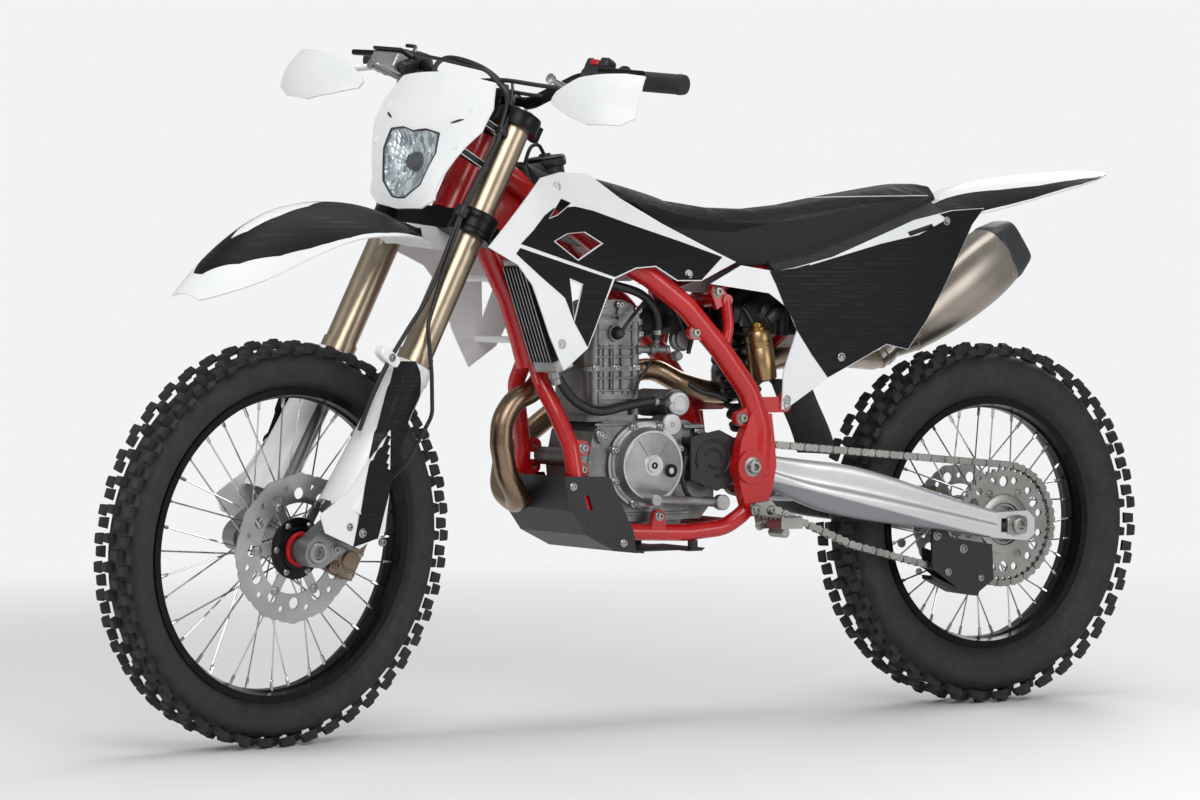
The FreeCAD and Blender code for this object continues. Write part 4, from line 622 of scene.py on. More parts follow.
def tube(path, radius, sides=12):
    """A round section carried along a path: centre + radius (cos a side + sin a up)."""
    path = np.asarray(path, float)
    way = np.gradient(path, axis=0)
    way /= np.linalg.norm(way, axis=1)[:, None]
    first = np.cross(way[0], ASKEW)
    side = first - way * (way @ first)[:, None]
    side /= np.linalg.norm(side, axis=1)[:, None]
    up = np.cross(way, side)
    turn = np.linspace(0, 2 * math.pi, sides, endpoint=False)
    reach = np.broadcast_to(np.asarray(radius, float), len(path))[:, None, None]
    section = side[:, None] * np.cos(turn)[:, None] + up[:, None] * np.sin(turn)[:, None]
    return lofted(path[:, None] + reach * section)


def block(centre, size, squareness=6.0, count=24, edge=1.5, turn=0.0):
    """A block with rounded corners and cut edges, lofted along Y; turned about Y in degrees."""
    x, y, z = np.asarray(size, float) / 2
    c, s = math.cos(math.radians(turn)), math.sin(math.radians(turn))
    ahead, up = np.array([c, 0, s]), np.array([-s, 0, c])
    rings = []
    for place, less in ((-y, edge), (-y + edge, 0), (y - edge, 0), (y, edge)):
        middle = np.asarray(centre, float) + [0, place, 0]
        rings.append(ring(middle, ahead * (x - less), up * (z - less), squareness, count))
    return lofted(rings)


def turned(start, way, profile, steps=20, hollow=False):
    """A profile of (radius, distance) pairs carried round the axis through a point.

    A hollow one's profile goes out along the outside and back along the bore.
    """
    start, way = np.asarray(start, float), np.asarray(way, float)
    way = way / np.linalg.norm(way)
    side = np.cross(way, ASKEW)
    side /= np.linalg.norm(side)
    up = np.cross(way, side)
    rings = [ring(start + way * far, side * radius, up * radius, 2.0, steps)
             for radius, far in profile]
    return looped(rings) if hollow else lofted(rings)


ACROSS = (0, 1, 0)


def bolt(x, y, z, radius=6.0, way=None):
    """A flanged cap screw: washer face, head and the round recess of its socket."""
    sign = 1 if y > 0 else -1
    return turned((x, y, z), way or (0, sign, 0), [
        (radius * 1.5, -2), (radius * 1.5, 1.2), (radius * 1.15, 2.2), (radius, 2.6),
        (radius, radius * 0.9), (radius * 0.86, radius * 1.05), (radius * 0.55, radius * 1.05),
        (radius * 0.5, radius * 0.4)], 14)


def places_round(x, y, z, radius, turns):
    """Places on a circle beside the bike: radius times cos and sin of each turn."""
    return [(x + radius * math.cos(turn), y, z + radius * math.sin(turn)) for turn in turns]


def both_sides(parts):
    """The parts and their mirror images across the middle."""
    flipped = [(points * [1, -1, 1], [face[::-1] for face in map(list, faces)])
               for points, faces in parts]
    return list(parts) + flipped


def show(name, parts, body, finish, place=bike, slot=None, **more):
    """Several parts as one piece; the slot argument is not used."""
    points, faces = together(parts)
    return piece(name, place(points), faces, body, finish, slot, **more)


def hose(points, radius, sides=12):
    """A round hose or cable along a smooth curve through its points."""
    return tube(smooth_path(points, 10 * len(points)), radius, sides)


# Camera, lights and floor.


def aim(thing, place, target):
    """Puts a camera or lamp at a place, looking at a target."""
    thing.location = place
    way = Vector(target) - Vector(place)
    thing.rotation_euler = way.to_track_quat("-Z", "Y").to_euler()


def make_camera():
    """The camera found from both wheels' rims: 31.7 degrees off the bike's side, 1.6 up."""
    camera = bpy.data.objects.new("camera", bpy.data.cameras.new("camera"))
    bpy.context.scene.collection.objects.link(camera)
    camera.data.lens = 125.57
    camera.data.sensor_width = 36.0
    camera.data.clip_end = 60
    place = Vector((4.2331, 6.3655, -0.1264))
    aim(camera, place, place + Vector((-0.52525, -0.85046, -0.02862)))
    bpy.context.scene.camera = camera


def soft_light(name, place, target, size, watts):
    """A rectangular soft box."""
    light = bpy.data.lights.new(name, "AREA")
    light.shape = "RECTANGLE"
    light.size, light.size_y = size
    light.energy = watts
    lamp = bpy.data.objects.new(name, light)
    bpy.context.scene.collection.objects.link(lamp)
    aim(lamp, place, target)


def make_studio():
    """Soft boxes round the bike over a pale floor that fades into the background."""
    middle = (0.2, 0.0, -0.3)
    soft_light("key_panel", (2.2, 3.6, 1.9), middle, (2.4, 2.0), 78)
    soft_light("side_panel_light", (4.6, -0.6, 0.9), middle, (2.0, 2.4), 46)
    soft_light("low_panel", (-1.8, 4.2, 0.4), middle, (2.2, 1.6), 34)
    soft_light("top_panel", (0.1, 0.2, 3.2), middle, (3.6, 2.2), 62)
    soft_light("rim_panel", (-3.0, -2.2, 1.6), middle, (1.8, 2.0), 44)
    backdrop = linear("#f2f3f4")
    world = bpy.data.worlds.new("studio")
    bpy.context.scene.world = world
    world.use_nodes = True
    tree = world.node_tree
    background = tree.nodes["Background"]
    background.inputs["Color"].default_value = backdrop
    rays = add(tree, "ShaderNodeLightPath")
    strength = add(tree, "ShaderNodeMapRange", {"Value": rays.outputs["Is Camera Ray"],
                                                "To Min": 0.36, "To Max": 1.0})
    tree.links.new(strength.outputs["Result"], background.inputs["Strength"])
    floor_mesh = bpy.data.meshes.new("studio_floor")
    half = 24.0
    level = -SEAT_POINT[2] / 1000 - 0.001
    floor_mesh.from_pydata([(-half, -half, level), (half, -half, level), (half, half, level),
                            (-half, half, level)], [], [(0, 1, 2, 3)])
    floor = bpy.data.objects.new("studio_floor", floor_mesh)
    bpy.context.scene.collection.objects.link(floor)
    material, tree, shader, place = start_material("studio_floor_paint", Roughness=0.6)
    clouded(tree, shader, place, 900, "#eeeff0", "#ebecee")
    # Seen by the camera, the floor fades to the background's colour a few metres off.
    reach = add(tree, "ShaderNodeVectorMath", {0: place}, operation="LENGTH")
    far = add(tree, "ShaderNodeMapRange", {"Value": reach.outputs["Value"], "From Min": 1.5,
                                           "From Max": 4.5}, interpolation_type="SMOOTHSTEP")
    rays = add(tree, "ShaderNodeLightPath")
    share = add(tree, "ShaderNodeMath", {0: far.outputs["Result"],
                                         1: rays.outputs["Is Camera Ray"]}, operation="MULTIPLY")
    glow = add(tree, "ShaderNodeEmission", {"Color": backdrop})
    either = add(tree, "ShaderNodeMixShader", {"Fac": share.outputs[0],
                                               1: shader.outputs["BSDF"],
                                               2: glow.outputs["Emission"]})
    tree.links.new(either.outputs["Shader"], tree.nodes["Material Output"].inputs["Surface"])
    floor_mesh.materials.append(material)
    bpy.context.scene.view_settings.view_transform = "Standard"


make_camera()
make_studio()


# Graphics: black film laid on the white panels.

FILM_SPACING = 7.0
FILM_THICKNESS = 0.0006


def inside(points, outline):
    """Which flat points lie within an outline, by counting the edges crossed to one side."""
    within = np.zeros(len(points), bool)
    for (u0, v0), (u1, v1) in zip(outline, np.roll(outline, -1, 0)):
        spans = (v0 > points[:, 1]) != (v1 > points[:, 1])
        crossing = u0 + (u1 - u0) * (points[:, 1] - v0) / (v1 - v0 if v1 != v0 else 1)
        within ^= spans & (points[:, 0] < crossing)
    return within


def divided(outline):
    """An outline with points set evenly along its edges."""
    ends = np.roll(outline, -1, 0)
    counts = np.maximum((np.linalg.norm(ends - outline, axis=1) / FILM_SPACING).astype(int), 1)
    return np.concatenate([a + (b - a) * np.linspace(0, 1, n, endpoint=False)[:, None]
                           for a, b, n in zip(outline, ends, counts)])


def filled(outline, openings):
    """An outline less its openings, as triangles between evenly spaced points."""
    edges = [divided(loop) for loop in (outline, *openings)]
    low, high = outline.min(0), outline.max(0)
    u, v = np.meshgrid(*(np.arange(low[k], high[k], FILM_SPACING) for k in (0, 1)))
    grid = np.column_stack([u.ravel(), v.ravel()])
    grid = grid[inside(grid, outline)]
    border, count = [], 0
    for edge in edges:
        border += [(count + k, count + (k + 1) % len(edge)) for k in range(len(edge))]
        count += len(edge)
    flat = np.concatenate([*edges, grid])
    points, _, faces, *_ = delaunay_2d_cdt([Vector(p) for p in flat], border, [], 0, 0.01)
    points = np.array([tuple(p) for p in points])
    middles = np.array([points[list(face)].mean(0) for face in faces])
    kept = inside(middles, outline)
    for opening in openings:
        kept &= ~inside(middles, opening)
    faces = [list(face) for face, keep in zip(faces, kept) if keep]
    used = np.unique(np.concatenate(faces))
    renumbered = np.zeros(len(points), int)
    renumbered[used] = np.arange(len(used))
    return points[used], [renumbered[face] for face in faces]


def press_moves(made, node, axis):
    """How far each point moves, along one axis, to lie a film's thickness off a node."""
    start = mesh_points(made.data)
    press = made.modifiers.new("press", "SHRINKWRAP")
    press.target = frame["nodes"][node]
    press.wrap_method = "PROJECT"
    press.use_project_x, press.use_project_y, press.use_project_z = (axis == a for a in "xyz")
    press.use_negative_direction = True
    press.project_limit = 0.045
    press.offset = FILM_THICKNESS
    pressed = made.evaluated_get(bpy.context.evaluated_depsgraph_get())
    moved = mesh_points(pressed.data) - start
    made.modifiers.clear()
    return moved


def film(name, outline, surface, node, axis, body, place=bike, openings=(), spread=0.014):
    """Black film cut to an outline, drawn off a panel and pressed onto it along one axis.

    surface(u, v) gives the points in millimetres 10 to 18 mm outside the panel. The openings
    are outlines cut out of the film. A point that finds no panel, or whose move is further
    than spread from the middle one, moves like its nearest neighbour on the panel.
    """
    flat, faces = filled(np.asarray(outline, float), [np.asarray(cut, float) for cut in openings])
    made = piece(name, place(surface(flat[:, 0], flat[:, 1])), faces, body, "graphic",
                 "white_plastic", recalculated=False)
    moved = press_moves(made, node, axis)
    column = "xyz".index(axis)
    found = np.abs(moved[:, column]) > 1e-6
    typical = np.median(moved[found, column])
    found &= np.abs(moved[:, column] - typical) < spread
    for index in np.flatnonzero(~found):
        apart = np.linalg.norm(flat[found] - flat[index], axis=1)
        moved[index] = moved[found][np.argmin(apart)]
    mesh = made.data
    mesh.vertices.foreach_set("co", (mesh_points(mesh) + moved).ravel())
    mesh.update()
    facing = np.mean([polygon.normal[column] for polygon in mesh.polygons])
    if facing * typical > 0:
        mesh.flip_normals()


def grown(outline, share=0.07):
    """An outline a little larger about its own middle."""
    outline = np.asarray(outline, float)
    return outline.mean(0) + (outline - outline.mean(0)) * (1 + share)


def shroud_surface(x, z):
    """How far the tank shroud stands out at a point: more ahead, and less towards its top."""
    forward = np.maximum((x - 620) / 545, 0)
    height = np.maximum((z - 640) / 345, 0)
    return 124 + 60 * forward ** 1.1 - 72 * height ** 2.2 * (1 - 0.5 * forward ** 2)


def panel_surface(x, z):
    """How far the side panel stands out at a point: less behind, and less above and below."""
    return 124 - 26 * np.maximum((330 - x) / 330, 0) ** 1.3 - 8 * ((z - 760) / 190) ** 2


def beside(surface, sign, off=10):
    """Points beside a panel that is given as y = f(x, z)."""
    return lambda x, z: np.column_stack([x, sign * (surface(x, z) + off), z])


FRONT_FENDER_ROWS = np.array([
    (1235, 858, 66, 4), (1290, 900, 80, 26), (1360, 922, 88, 44), (1440, 927, 90, 58),
    (1520, 916, 88, 74), (1600, 880, 80, 72), (1672, 824, 60, 42), (1712, 776, 36, 8)])
REAR_FENDER_ROWS = np.array([
    (-283, 1004, 30, 3), (-190, 1003, 74, 26), (-60, 992, 92, 44), (60, 972, 96, 50),
    (150, 936, 74, 20)])


def above(rows, off=18):
    """Points over a fender given by rows of x, crown height, half width and drop at the edge."""
    def at(x, y):
        crown, half, drop = (np.interp(x, rows[:, 0], rows[:, k]) for k in (1, 2, 3))
        return np.column_stack([x, y, crown - drop * (y / half) ** 2 + off])
    return at


SHROUD_VENT = [(1024, 863), (994, 876), (956, 879), (920, 860), (977, 831)]
SHROUD_SLOT = [(1031, 903), (998, 938), (976, 930), (1011, 909)]
SHROUD_SLIT = [(998, 796), (972, 787), (993, 726)]
SHROUD_FILM_UPPER = [
    (1101, 858), (1071, 881), (1041, 908), (1018, 921), (969, 924), (929, 917), (846, 893),
    (740, 864), (650, 837), (703, 796), (757, 796), (803, 821), (849, 818), (898, 801)]
SHROUD_FILM_LOWER = [
    (1113, 841), (1103, 851), (904, 797), (928, 753), (966, 679), (994, 723), (1012, 765),
    (1064, 803)]
PANEL_FILM = [
    (560, 812), (546, 787), (528, 749), (509, 724), (501, 706), (467, 661), (430, 619),
    (300, 679), (250, 669), (206, 723), (168, 778), (92, 899), (62, 929), (139, 924),
    (231, 905), (329, 870), (419, 837), (504, 817)]
PANEL_ACCENT = [
    (474, 822), (455, 840), (300, 900), (225, 940), (152, 909), (223, 879), (313, 862)]
FRONT_FENDER_FILM = [
    (1692, 0), (1690, 12), (1641, 48), (1575, 72), (1520, 82), (1482, 86), (1440, 88),
    (1360, 86), (1290, 78), (1250, 67), (1250, 0), (1413, 0), (1440, 4), (1480, 20), (1540, 22),
    (1600, 14), (1625, 0)]
REAR_FENDER_FILM = [
    (-262, 44), (-236, 52), (-179, 60), (-92, 66), (-4, 61), (109, 41), (149, 38), (149, 73),
    (100, 87), (60, 94), (0, 94), (-60, 91), (-120, 84), (-190, 73), (-240, 58)]
GUARD_FILM = [
    (85, 350), (47, 368), (32, 355), (4, 315), (4, 258), (-2, 171), (-24, 68), (18, 33),
    (57, 168), (73, 282)]


def mirrored_across(outline, sign):
    """A fender's outline on one side of the middle or the other."""
    return [(u, sign * v) for u, v in outline]


for side, sign in (("left", 1), ("right", -1)):
    film("shroud_film_upper_" + side, SHROUD_FILM_UPPER, beside(shroud_surface, sign),
         "tank_shrouds", "y", "chassis", openings=[grown(SHROUD_VENT), grown(SHROUD_SLOT, 0.1)])
    film("shroud_film_lower_" + side, SHROUD_FILM_LOWER, beside(shroud_surface, sign),
         "tank_shrouds", "y", "chassis", openings=[grown(SHROUD_SLIT, 0.12)])
    film("panel_film_" + side, PANEL_FILM, beside(panel_surface, sign), "side_panels", "y",
         "chassis", openings=[PANEL_ACCENT])
    film("front_fender_film_" + side, mirrored_across(FRONT_FENDER_FILM, sign),
         above(FRONT_FENDER_ROWS), "front_fender", "z", "steering", straight, spread=0.05)
    film("rear_fender_film_" + side, mirrored_across(REAR_FENDER_FILM, sign),
         above(REAR_FENDER_ROWS), "rear_fender", "z", "chassis", spread=0.05)
    film("fork_guard_film_" + side, GUARD_FILM,
         lambda x, z: np.column_stack([x, np.full(len(x), sign * 156.0), z]),
         "fork_guards", "y", "steering", fork)


# Wheels.


def tread_block(length, width, height):
    """A block standing on z = 0 that tapers as it rises, with cut edges round its top."""
    taper, chamfer = 0.84, 1.2
    base = np.array([[-length, -width], [length, -width], [length, width], [-length, width]]) / 2
    levels = [(1.0, 0.0), (taper + (1 - taper) * chamfer / height, height - chamfer),
              (taper - 2 * chamfer / max(length, width), height)]
    points = np.concatenate([np.column_stack([base * scale, np.full(4, level)])
                             for scale, level in levels])
    return points, [*grid_faces(3, 4, close_columns=True), [8, 9, 10, 11], [3, 2, 1, 0]]


def knobs(radius, rows, pitch_count):
    """Tread blocks standing on the carcass all round, turned to face outwards.

    A row gives the blocks' place across the tread, their size round and across, their lean
    outwards in degrees, how far round they are shifted as a share of the pitch, and their height.
    """
    parts = []
    for y, round_mm, across_mm, lean, shift, height in rows:
        turn = 2 * math.pi * (np.arange(pitch_count) + shift) / pitch_count
        lean_angle = math.radians(lean)
        # The block's own axes: round the wheel, across it, and out through the tread.
        around = [1.0, 0, 0]
        across = [0, math.cos(lean_angle), -math.sin(lean_angle)]
        tip = [0, math.sin(lean_angle), math.cos(lean_angle)]
        spin = np.zeros((pitch_count, 3, 3))
        spin[:, 0, 0] = spin[:, 2, 2] = np.cos(turn)
        spin[:, 0, 2] = np.sin(turn)
        spin[:, 2, 0] = -np.sin(turn)
        spin[:, 1, 1] = 1
        parts.append(copies(*tread_block(round_mm, across_mm, height),
                            spin @ np.column_stack([around, across, tip]),
                            spin @ np.array([0, y, radius])))
    return together(parts)


def carcass(radius, half_width, rim_radius, bead, steps=120):
    """The tyre's body: a rounded section from bead to bead carried round the wheel."""
    height = radius - rim_radius
    shares = [(0.16, 0.74), (0.34, 0.86), (0.55, 0.91), (0.74, 0.86), (0.88, 0.68), (0.96, 0.42)]
    wall = [(rim_radius - 1, bead), (rim_radius + 3, bead + 3)]
    wall += [(rim_radius + height * up, half_width * out) for up, out in shares]
    section = [(reach, -out, 0) for reach, out in wall] + [(radius, 0, 0)]
    section += [(reach, out, 0) for reach, out in reversed(wall)]
    fine = smooth_path(section, 49)
    turn = np.linspace(0, 2 * math.pi, steps, endpoint=False)
    points = np.stack([fine[:, 0, None] * np.sin(turn), np.repeat(fine[:, 1, None], steps, 1),
                       fine[:, 0, None] * np.cos(turn)], -1).reshape(-1, 3)
    return points, list(grid_faces(len(fine), steps, True, True))


def make_tyre(name, radius, width, rim_radius, bead, lug, rows, pitch_count, place, body):
    """A carcass with its tread, in place of the CAD tyre of the same end."""
    points, faces = together([carcass(radius - lug, width / 2, rim_radius, bead),
                              knobs(radius - lug, rows, pitch_count)])
    piece(name, place(points), faces, body, "tyre", "tyre", [name.replace("knobbly", "tyre")],
          smooth=False)


def mirrored_rows(rows):
    """Rows of blocks on both sides, the second half a pitch further round."""
    return rows + [(-y, a, b, -lean, shift + 0.5, h) for y, a, b, lean, shift, h in rows]


FRONT_ROWS = mirrored_rows([
    (12, 17, 18, 6, 0.0, 14.5), (29, 19, 12, 26, 0.5, 15.5), (39, 20, 9, 52, 0.08, 13.0)])
REAR_ROWS = mirrored_rows([
    (13, 18, 22, 5, 0.0, 16.5), (37, 20, 15, 24, 0.5, 18.0), (50, 23, 10, 54, 0.08, 14.0)])
make_tyre("front_knobbly", 346.5, 92, 272, 22, 14, FRONT_ROWS, 44, front_wheel, "front_wheel")
make_tyre("rear_knobbly", 337.5, 116, 238, 29, 16, REAR_ROWS, 38, rear_wheel, "rear_wheel")


def make_spokes(name, rim_radius, flange_radius, flange_spacing, place, body):
    """Round bright spokes with a nipple at the rim, laced across each other."""
    count = 36
    crossing = math.radians(62)
    rim_depth, flange_edge = 20.6, 3
    head_offset, nipple_offset, nipple_side = 4.4, 2.2, 5
    nipple = 17
    index = np.arange(count)
    side = np.where(index % 2, 1, -1)
    heads_out = np.where((index // 2) % 2, 1, -1)
    rim_turn = 2 * math.pi * index / count
    hub_turn = rim_turn + heads_out * crossing
    outer = rim_radius - rim_depth
    inner = flange_radius - flange_edge
    hub_y = side * flange_spacing / 2 + heads_out * head_offset
    rim_y = side * nipple_side + heads_out * nipple_offset
    start = np.column_stack([inner * np.cos(hub_turn), hub_y, inner * np.sin(hub_turn)])
    end = np.column_stack([outer * np.cos(rim_turn), rim_y, outer * np.sin(rim_turn)])
    parts = []
    for a, b in zip(start, end):
        way = (b - a) / np.linalg.norm(b - a)
        parts.append(tube([a, b - way * nipple], 1.5, 6))
        parts.append(tube([b - way * nipple, b - way * (nipple - 2), b - way * 1, b + way * 3],
                          [1.8, 3.1, 3.1, 3.6], 6))
    points, faces = together(parts)
    piece(name, place(points), faces, body, "chrome", "steel", [name.replace("wire", "spokes")])


make_spokes("front_wire", 271, 29, 64, front_wheel, "front_wheel")
make_spokes("rear_wire", 237, 46, 68, rear_wheel, "rear_wheel")


# Chain.

CHAIN_PITCH = 15.875
CHAIN_LINE = 78.0


def chain_route():
    """The closed pitch line: straight on top, an arc round each sprocket, a sag below."""
    rear, front = 111.26, 33.17
    rear_centre, front_centre = np.array([0.0, 338.0]), np.array([668.0, 478.0])
    dip = np.array([345.0, 309.0])
    way = front_centre - rear_centre
    up = math.atan2(way[1], way[0]) + math.pi / 2 - math.asin((rear - front) / np.hypot(*way))

    def touch(centre, radius, sign):
        """Where round a circle a line from the dip touches it."""
        line = dip - centre
        return math.atan2(line[1], line[0]) + sign * math.acos(radius / np.hypot(*line))

    def arc(centre, radius, first, last, count):
        turn = np.linspace(first, last, count)
        return centre + radius * np.column_stack([np.cos(turn), np.sin(turn)])

    front_arc = arc(front_centre, front, up, touch(front_centre, front, 1) - 2 * math.pi, 40)
    rear_arc = arc(rear_centre, rear, touch(rear_centre, rear, -1), up - 2 * math.pi, 90)
    sag = [front_arc[-1], dip + (front_arc[-1] - dip) * 0.1, dip + (rear_arc[0] - dip) * 0.1,
           rear_arc[0]]
    lower = smooth_path(np.column_stack([sag, np.zeros(4)]), 60)[:, :2]
    upper = rear_arc[-1] + (front_arc[0] - rear_arc[-1]) * np.linspace(0, 1, 60)[:, None]
    return np.concatenate([upper[:-1], front_arc[:-1], lower[:-1], rear_arc[:-1]])


def link_plate(waist, radius, thickness, y):
    """A chain plate: two round ends with a waist between them."""
    turn = np.linspace(-math.pi / 2, math.pi / 2, 7)
    right = np.column_stack([CHAIN_PITCH / 2 + radius * np.cos(turn), radius * np.sin(turn)])
    middle = np.array([[0, waist]])
    outline = np.concatenate([right, middle, -right, -middle])
    return lofted([np.column_stack([outline[:, 0], np.full(len(outline), face), outline[:, 1]])
                   for face in (y - thickness / 2, y + thickness / 2)])


def pin(radius, half_length, steps, x):
    """A round pin across the chain: radius times sin and cos, at both of its ends."""
    turn = np.linspace(0, 2 * math.pi, steps, endpoint=False)
    return lofted([np.column_stack([x + radius * np.sin(turn), np.full(steps, y),
                                    radius * np.cos(turn)]) for y in (-half_length, half_length)])


def make_chain():
    """Outer and inner links in turn, each between two pins of the route."""
    route = chain_route()
    links = 2 * int(round(run_round(route)[1][-1] / CHAIN_PITCH / 2))
    pins = evenly(route, links)
    following = np.roll(pins, -1, 0)
    middle = (pins + following) / 2
    way = (following - pins) / np.linalg.norm(following - pins, axis=1)[:, None]
    matrices = np.zeros((links, 3, 3))
    matrices[:, 0, 0] = matrices[:, 2, 2] = way[:, 0]
    matrices[:, 2, 0] = way[:, 1]
    matrices[:, 0, 2] = -way[:, 1]
    matrices[:, 1, 1] = 1
    shifts = np.column_stack([middle[:, 0], np.full(links, CHAIN_LINE), middle[:, 1]])
    ends = (CHAIN_PITCH / 2, -CHAIN_PITCH / 2)
    outer = together([link_plate(4.6, 7.1, 1.8, y) for y in (-7.0, 7.0)]
                     + [pin(2.4, 8.6, 8, x) for x in ends])
    inner = together([link_plate(4.4, 7.0, 1.8, y) for y in (-4.6, 4.6)]
                     + [pin(5.0, 3.6, 10, x) for x in ends])
    points, faces = together([copies(*outer, matrices[0::2], shifts[0::2]),
                              copies(*inner, matrices[1::2], shifts[1::2])])
    piece("link_chain", bike(points), faces, "chassis", "steel", "steel", ["chain"], smooth=False)


make_chain()


# Fasteners on the chassis.

ENGINE_BOLTS = [
    (891, 80, 524), (928, 72, 488), (914, 72, 456), (680, 72, 524), (884, 80, 520),
    (890, 80, 430), (700, 80, 402), (740, 78, 538), (902, 72, 420), (668, 72, 470),
    (660, 72, 430), (872, 60, 752), (796, 56, 742), (834, 56, 752), (806, 66, 640),
    (890, 66, 640), (796, 61, 700), (900, 61, 700), (848, 65, 640)]
IGNITION_X, IGNITION_Z = 795, 467
CLUTCH_X, CLUTCH_Z = 742, 474
COVER_BOLTS = places_round(IGNITION_X, 86.3, IGNITION_Z, 73, (np.arange(8) + 0.5) * math.pi / 4)
CLUTCH_BOLTS = places_round(CLUTCH_X, -94, CLUTCH_Z, 70, np.arange(9) * 2 * math.pi / 9)
show("engine_bolts", [bolt(*at, 5.0) for at in ENGINE_BOLTS]
     + [bolt(*at, 5.2) for at in COVER_BOLTS + CLUTCH_BOLTS], "chassis", "steel")

FRAME_BOLTS = [(711, 112, 702, 7), (660, 106, 775, 7.5), (615, 118, 548, 7.5),
               (517, 110, 571, 7.5), (784, 108, 377, 6), (930, 88, 500, 6.5), (932, 88, 462, 6.5),
               (602, 132, 461, 12), (594, 126, 386, 7), (600, 140, 384, 7)]
show("frame_bolts", both_sides([bolt(*bolt_row) for bolt_row in FRAME_BOLTS]),
     "chassis", "steel")

PANEL_SCREWS = [(1022, shroud_surface(1022, 685), 685), (1004, shroud_surface(1004, 958), 958),
                (731, shroud_surface(731, 806), 806), (401, panel_surface(401, 656), 656),
                (155, panel_surface(155, 905), 905), (517, panel_surface(517, 580), 580)]
show("panel_screws", both_sides([
    turned((x, y - 1, z), ACROSS, [(8.5, 0), (8.5, 1.6), (7.4, 2.6), (5.6, 2.6), (5.2, 1.6),
                                   (3.2, 1.6), (3.2, 2.6), (1.5, 2.6)], 18)
    for x, y, z in PANEL_SCREWS]), "chassis", "steel")


def ear(x, z, reach_x, reach_z, inner, outer, radius):
    """A flat lug with a round end, welded back to its tube over a root 1.3 times as wide."""
    way = np.array([reach_x - x, reach_z - z], float)
    way /= np.linalg.norm(way)
    facing = math.atan2(way[1], way[0])
    turn = facing + np.linspace(math.pi / 2, 3 * math.pi / 2, 11)
    root = np.array([reach_x, reach_z])
    half_root = np.array([-way[1], way[0]]) * radius * 1.3
    outline = np.concatenate([
        np.column_stack([x + radius * np.cos(turn), z + radius * np.sin(turn)]),
        [root - half_root, root + half_root]])
    return lofted([np.column_stack([outline[:, 0], np.full(len(outline), y), outline[:, 1]])
                   for y in (inner, outer)])


show("frame_ears", both_sides([ear(711, 702, 676, 704, 100, 112, 13),
                               ear(660, 775, 646, 752, 94, 106, 13),
                               ear(615, 548, 596, 552, 104, 118, 14),
                               ear(784, 377, 786, 352, 94, 108, 12)]), "chassis", "frame_paint")


# Engine.

show("ignition_cover_face", [
    turned((IGNITION_X, 104, IGNITION_Z), ACROSS,
           [(58, -1), (58, 1.2), (56.5, 2.2), (20, 2.8), (19, 3.6), (14, 3.6)], 48),
    turned((IGNITION_X, 76, IGNITION_Z), ACROSS, [(78, 0), (78, 3), (76, 4)], 48)],
     "chassis", "silver_cover")
RIB_TURNS = (0.95, 2.2)
show("ignition_cover_ribs", [
    block(at, (34, 1.2, 1.6), 8, 12, 0.3, math.degrees(turn)) for turn, at in zip(
        RIB_TURNS, places_round(IGNITION_X, 106.6, IGNITION_Z, 38, RIB_TURNS))],
     "chassis", "engine_alloy")
show("inspection_plugs", [
    turned((759, 109, 457), ACROSS, [(12, -3), (12, 0), (10.5, 1.4), (6, 1.4), (5.6, -2.6)], 24),
    turned((IGNITION_X, 108, IGNITION_Z), ACROSS,
           [(6, -2), (6, 2.4), (5, 3.2), (3, 3.2), (2.8, 1)], 18)],
     "chassis", "black_alloy")
show("starter_covers", [
    turned((723, 74, 575), ACROSS, [(22, -3), (22, 3), (20, 5), (14, 5.5), (13, 4.5), (6, 4.5)],
           32),
    turned((740, 77, 538), ACROSS, [(20, -3), (20, 3), (18, 5), (9, 5.6)], 32)],
     "chassis", "silver_cover")
JACKET_RIBS = [((851, 64.5, z), (92, 3, 3.2)) for z in (600, 622, 660, 676)]
JACKET_RIBS += [((x, 64.5, 640), (3.2, 3, 84)) for x in (812, 836, 858, 882)]
JACKET_RIBS += [((846, 62, 708), (96, 3, 3)), ((812, 62, 704), (3, 3, 34)),
                ((884, 62, 704), (3, 3, 34)), ((846, 56, 733), (84, 3, 3))]
show("jacket_ribs", both_sides([block(c, s, 10, 12, 0.6) for c, s in JACKET_RIBS]),
     "chassis", "engine_alloy")
show("case_joint", both_sides([block((790, 72.4, 380), (190, 3, 6), 8, 16, 1),
                               block((855, 72.4, 540), (84, 3, 6), 8, 16, 1),
                               block((690, 74, 534), (44, 6, 10), 4, 16, 2)]),
     "chassis", "engine_alloy")
show("water_fittings", [
    turned((806, 64, 672), (-0.98, 0.06, 0), [(9, 0), (9, 8), (6.5, 9), (6.5, 26), (10, 27),
                                             (10, 36), (6, 37), (6, 58), (8, 59), (8, 66)], 16),
    turned((766, 64, 676), (-0.2, 0.2, 1), [(8, -6), (8, 6), (6, 8), (6, 14)], 16),
    turned((747, 70, 577), (1, 0.1, 0.1), [(10, -12), (10, 4), (8, 5), (8, 12)], 16),
    turned((700, 40, 690), ACROSS, [(22, 0), (22, 12), (18, 14), (18, 22), (12, 23)], 24),
    turned((676, 36, 716), ACROSS, [(13, 0), (13, 26), (11, 28), (5, 28)], 20),
    turned((712, 46, 660), (0.2, 1, 0), [(9, 0), (9, 14), (7, 16), (7, 22)], 16)],
     "chassis", "engine_alloy")
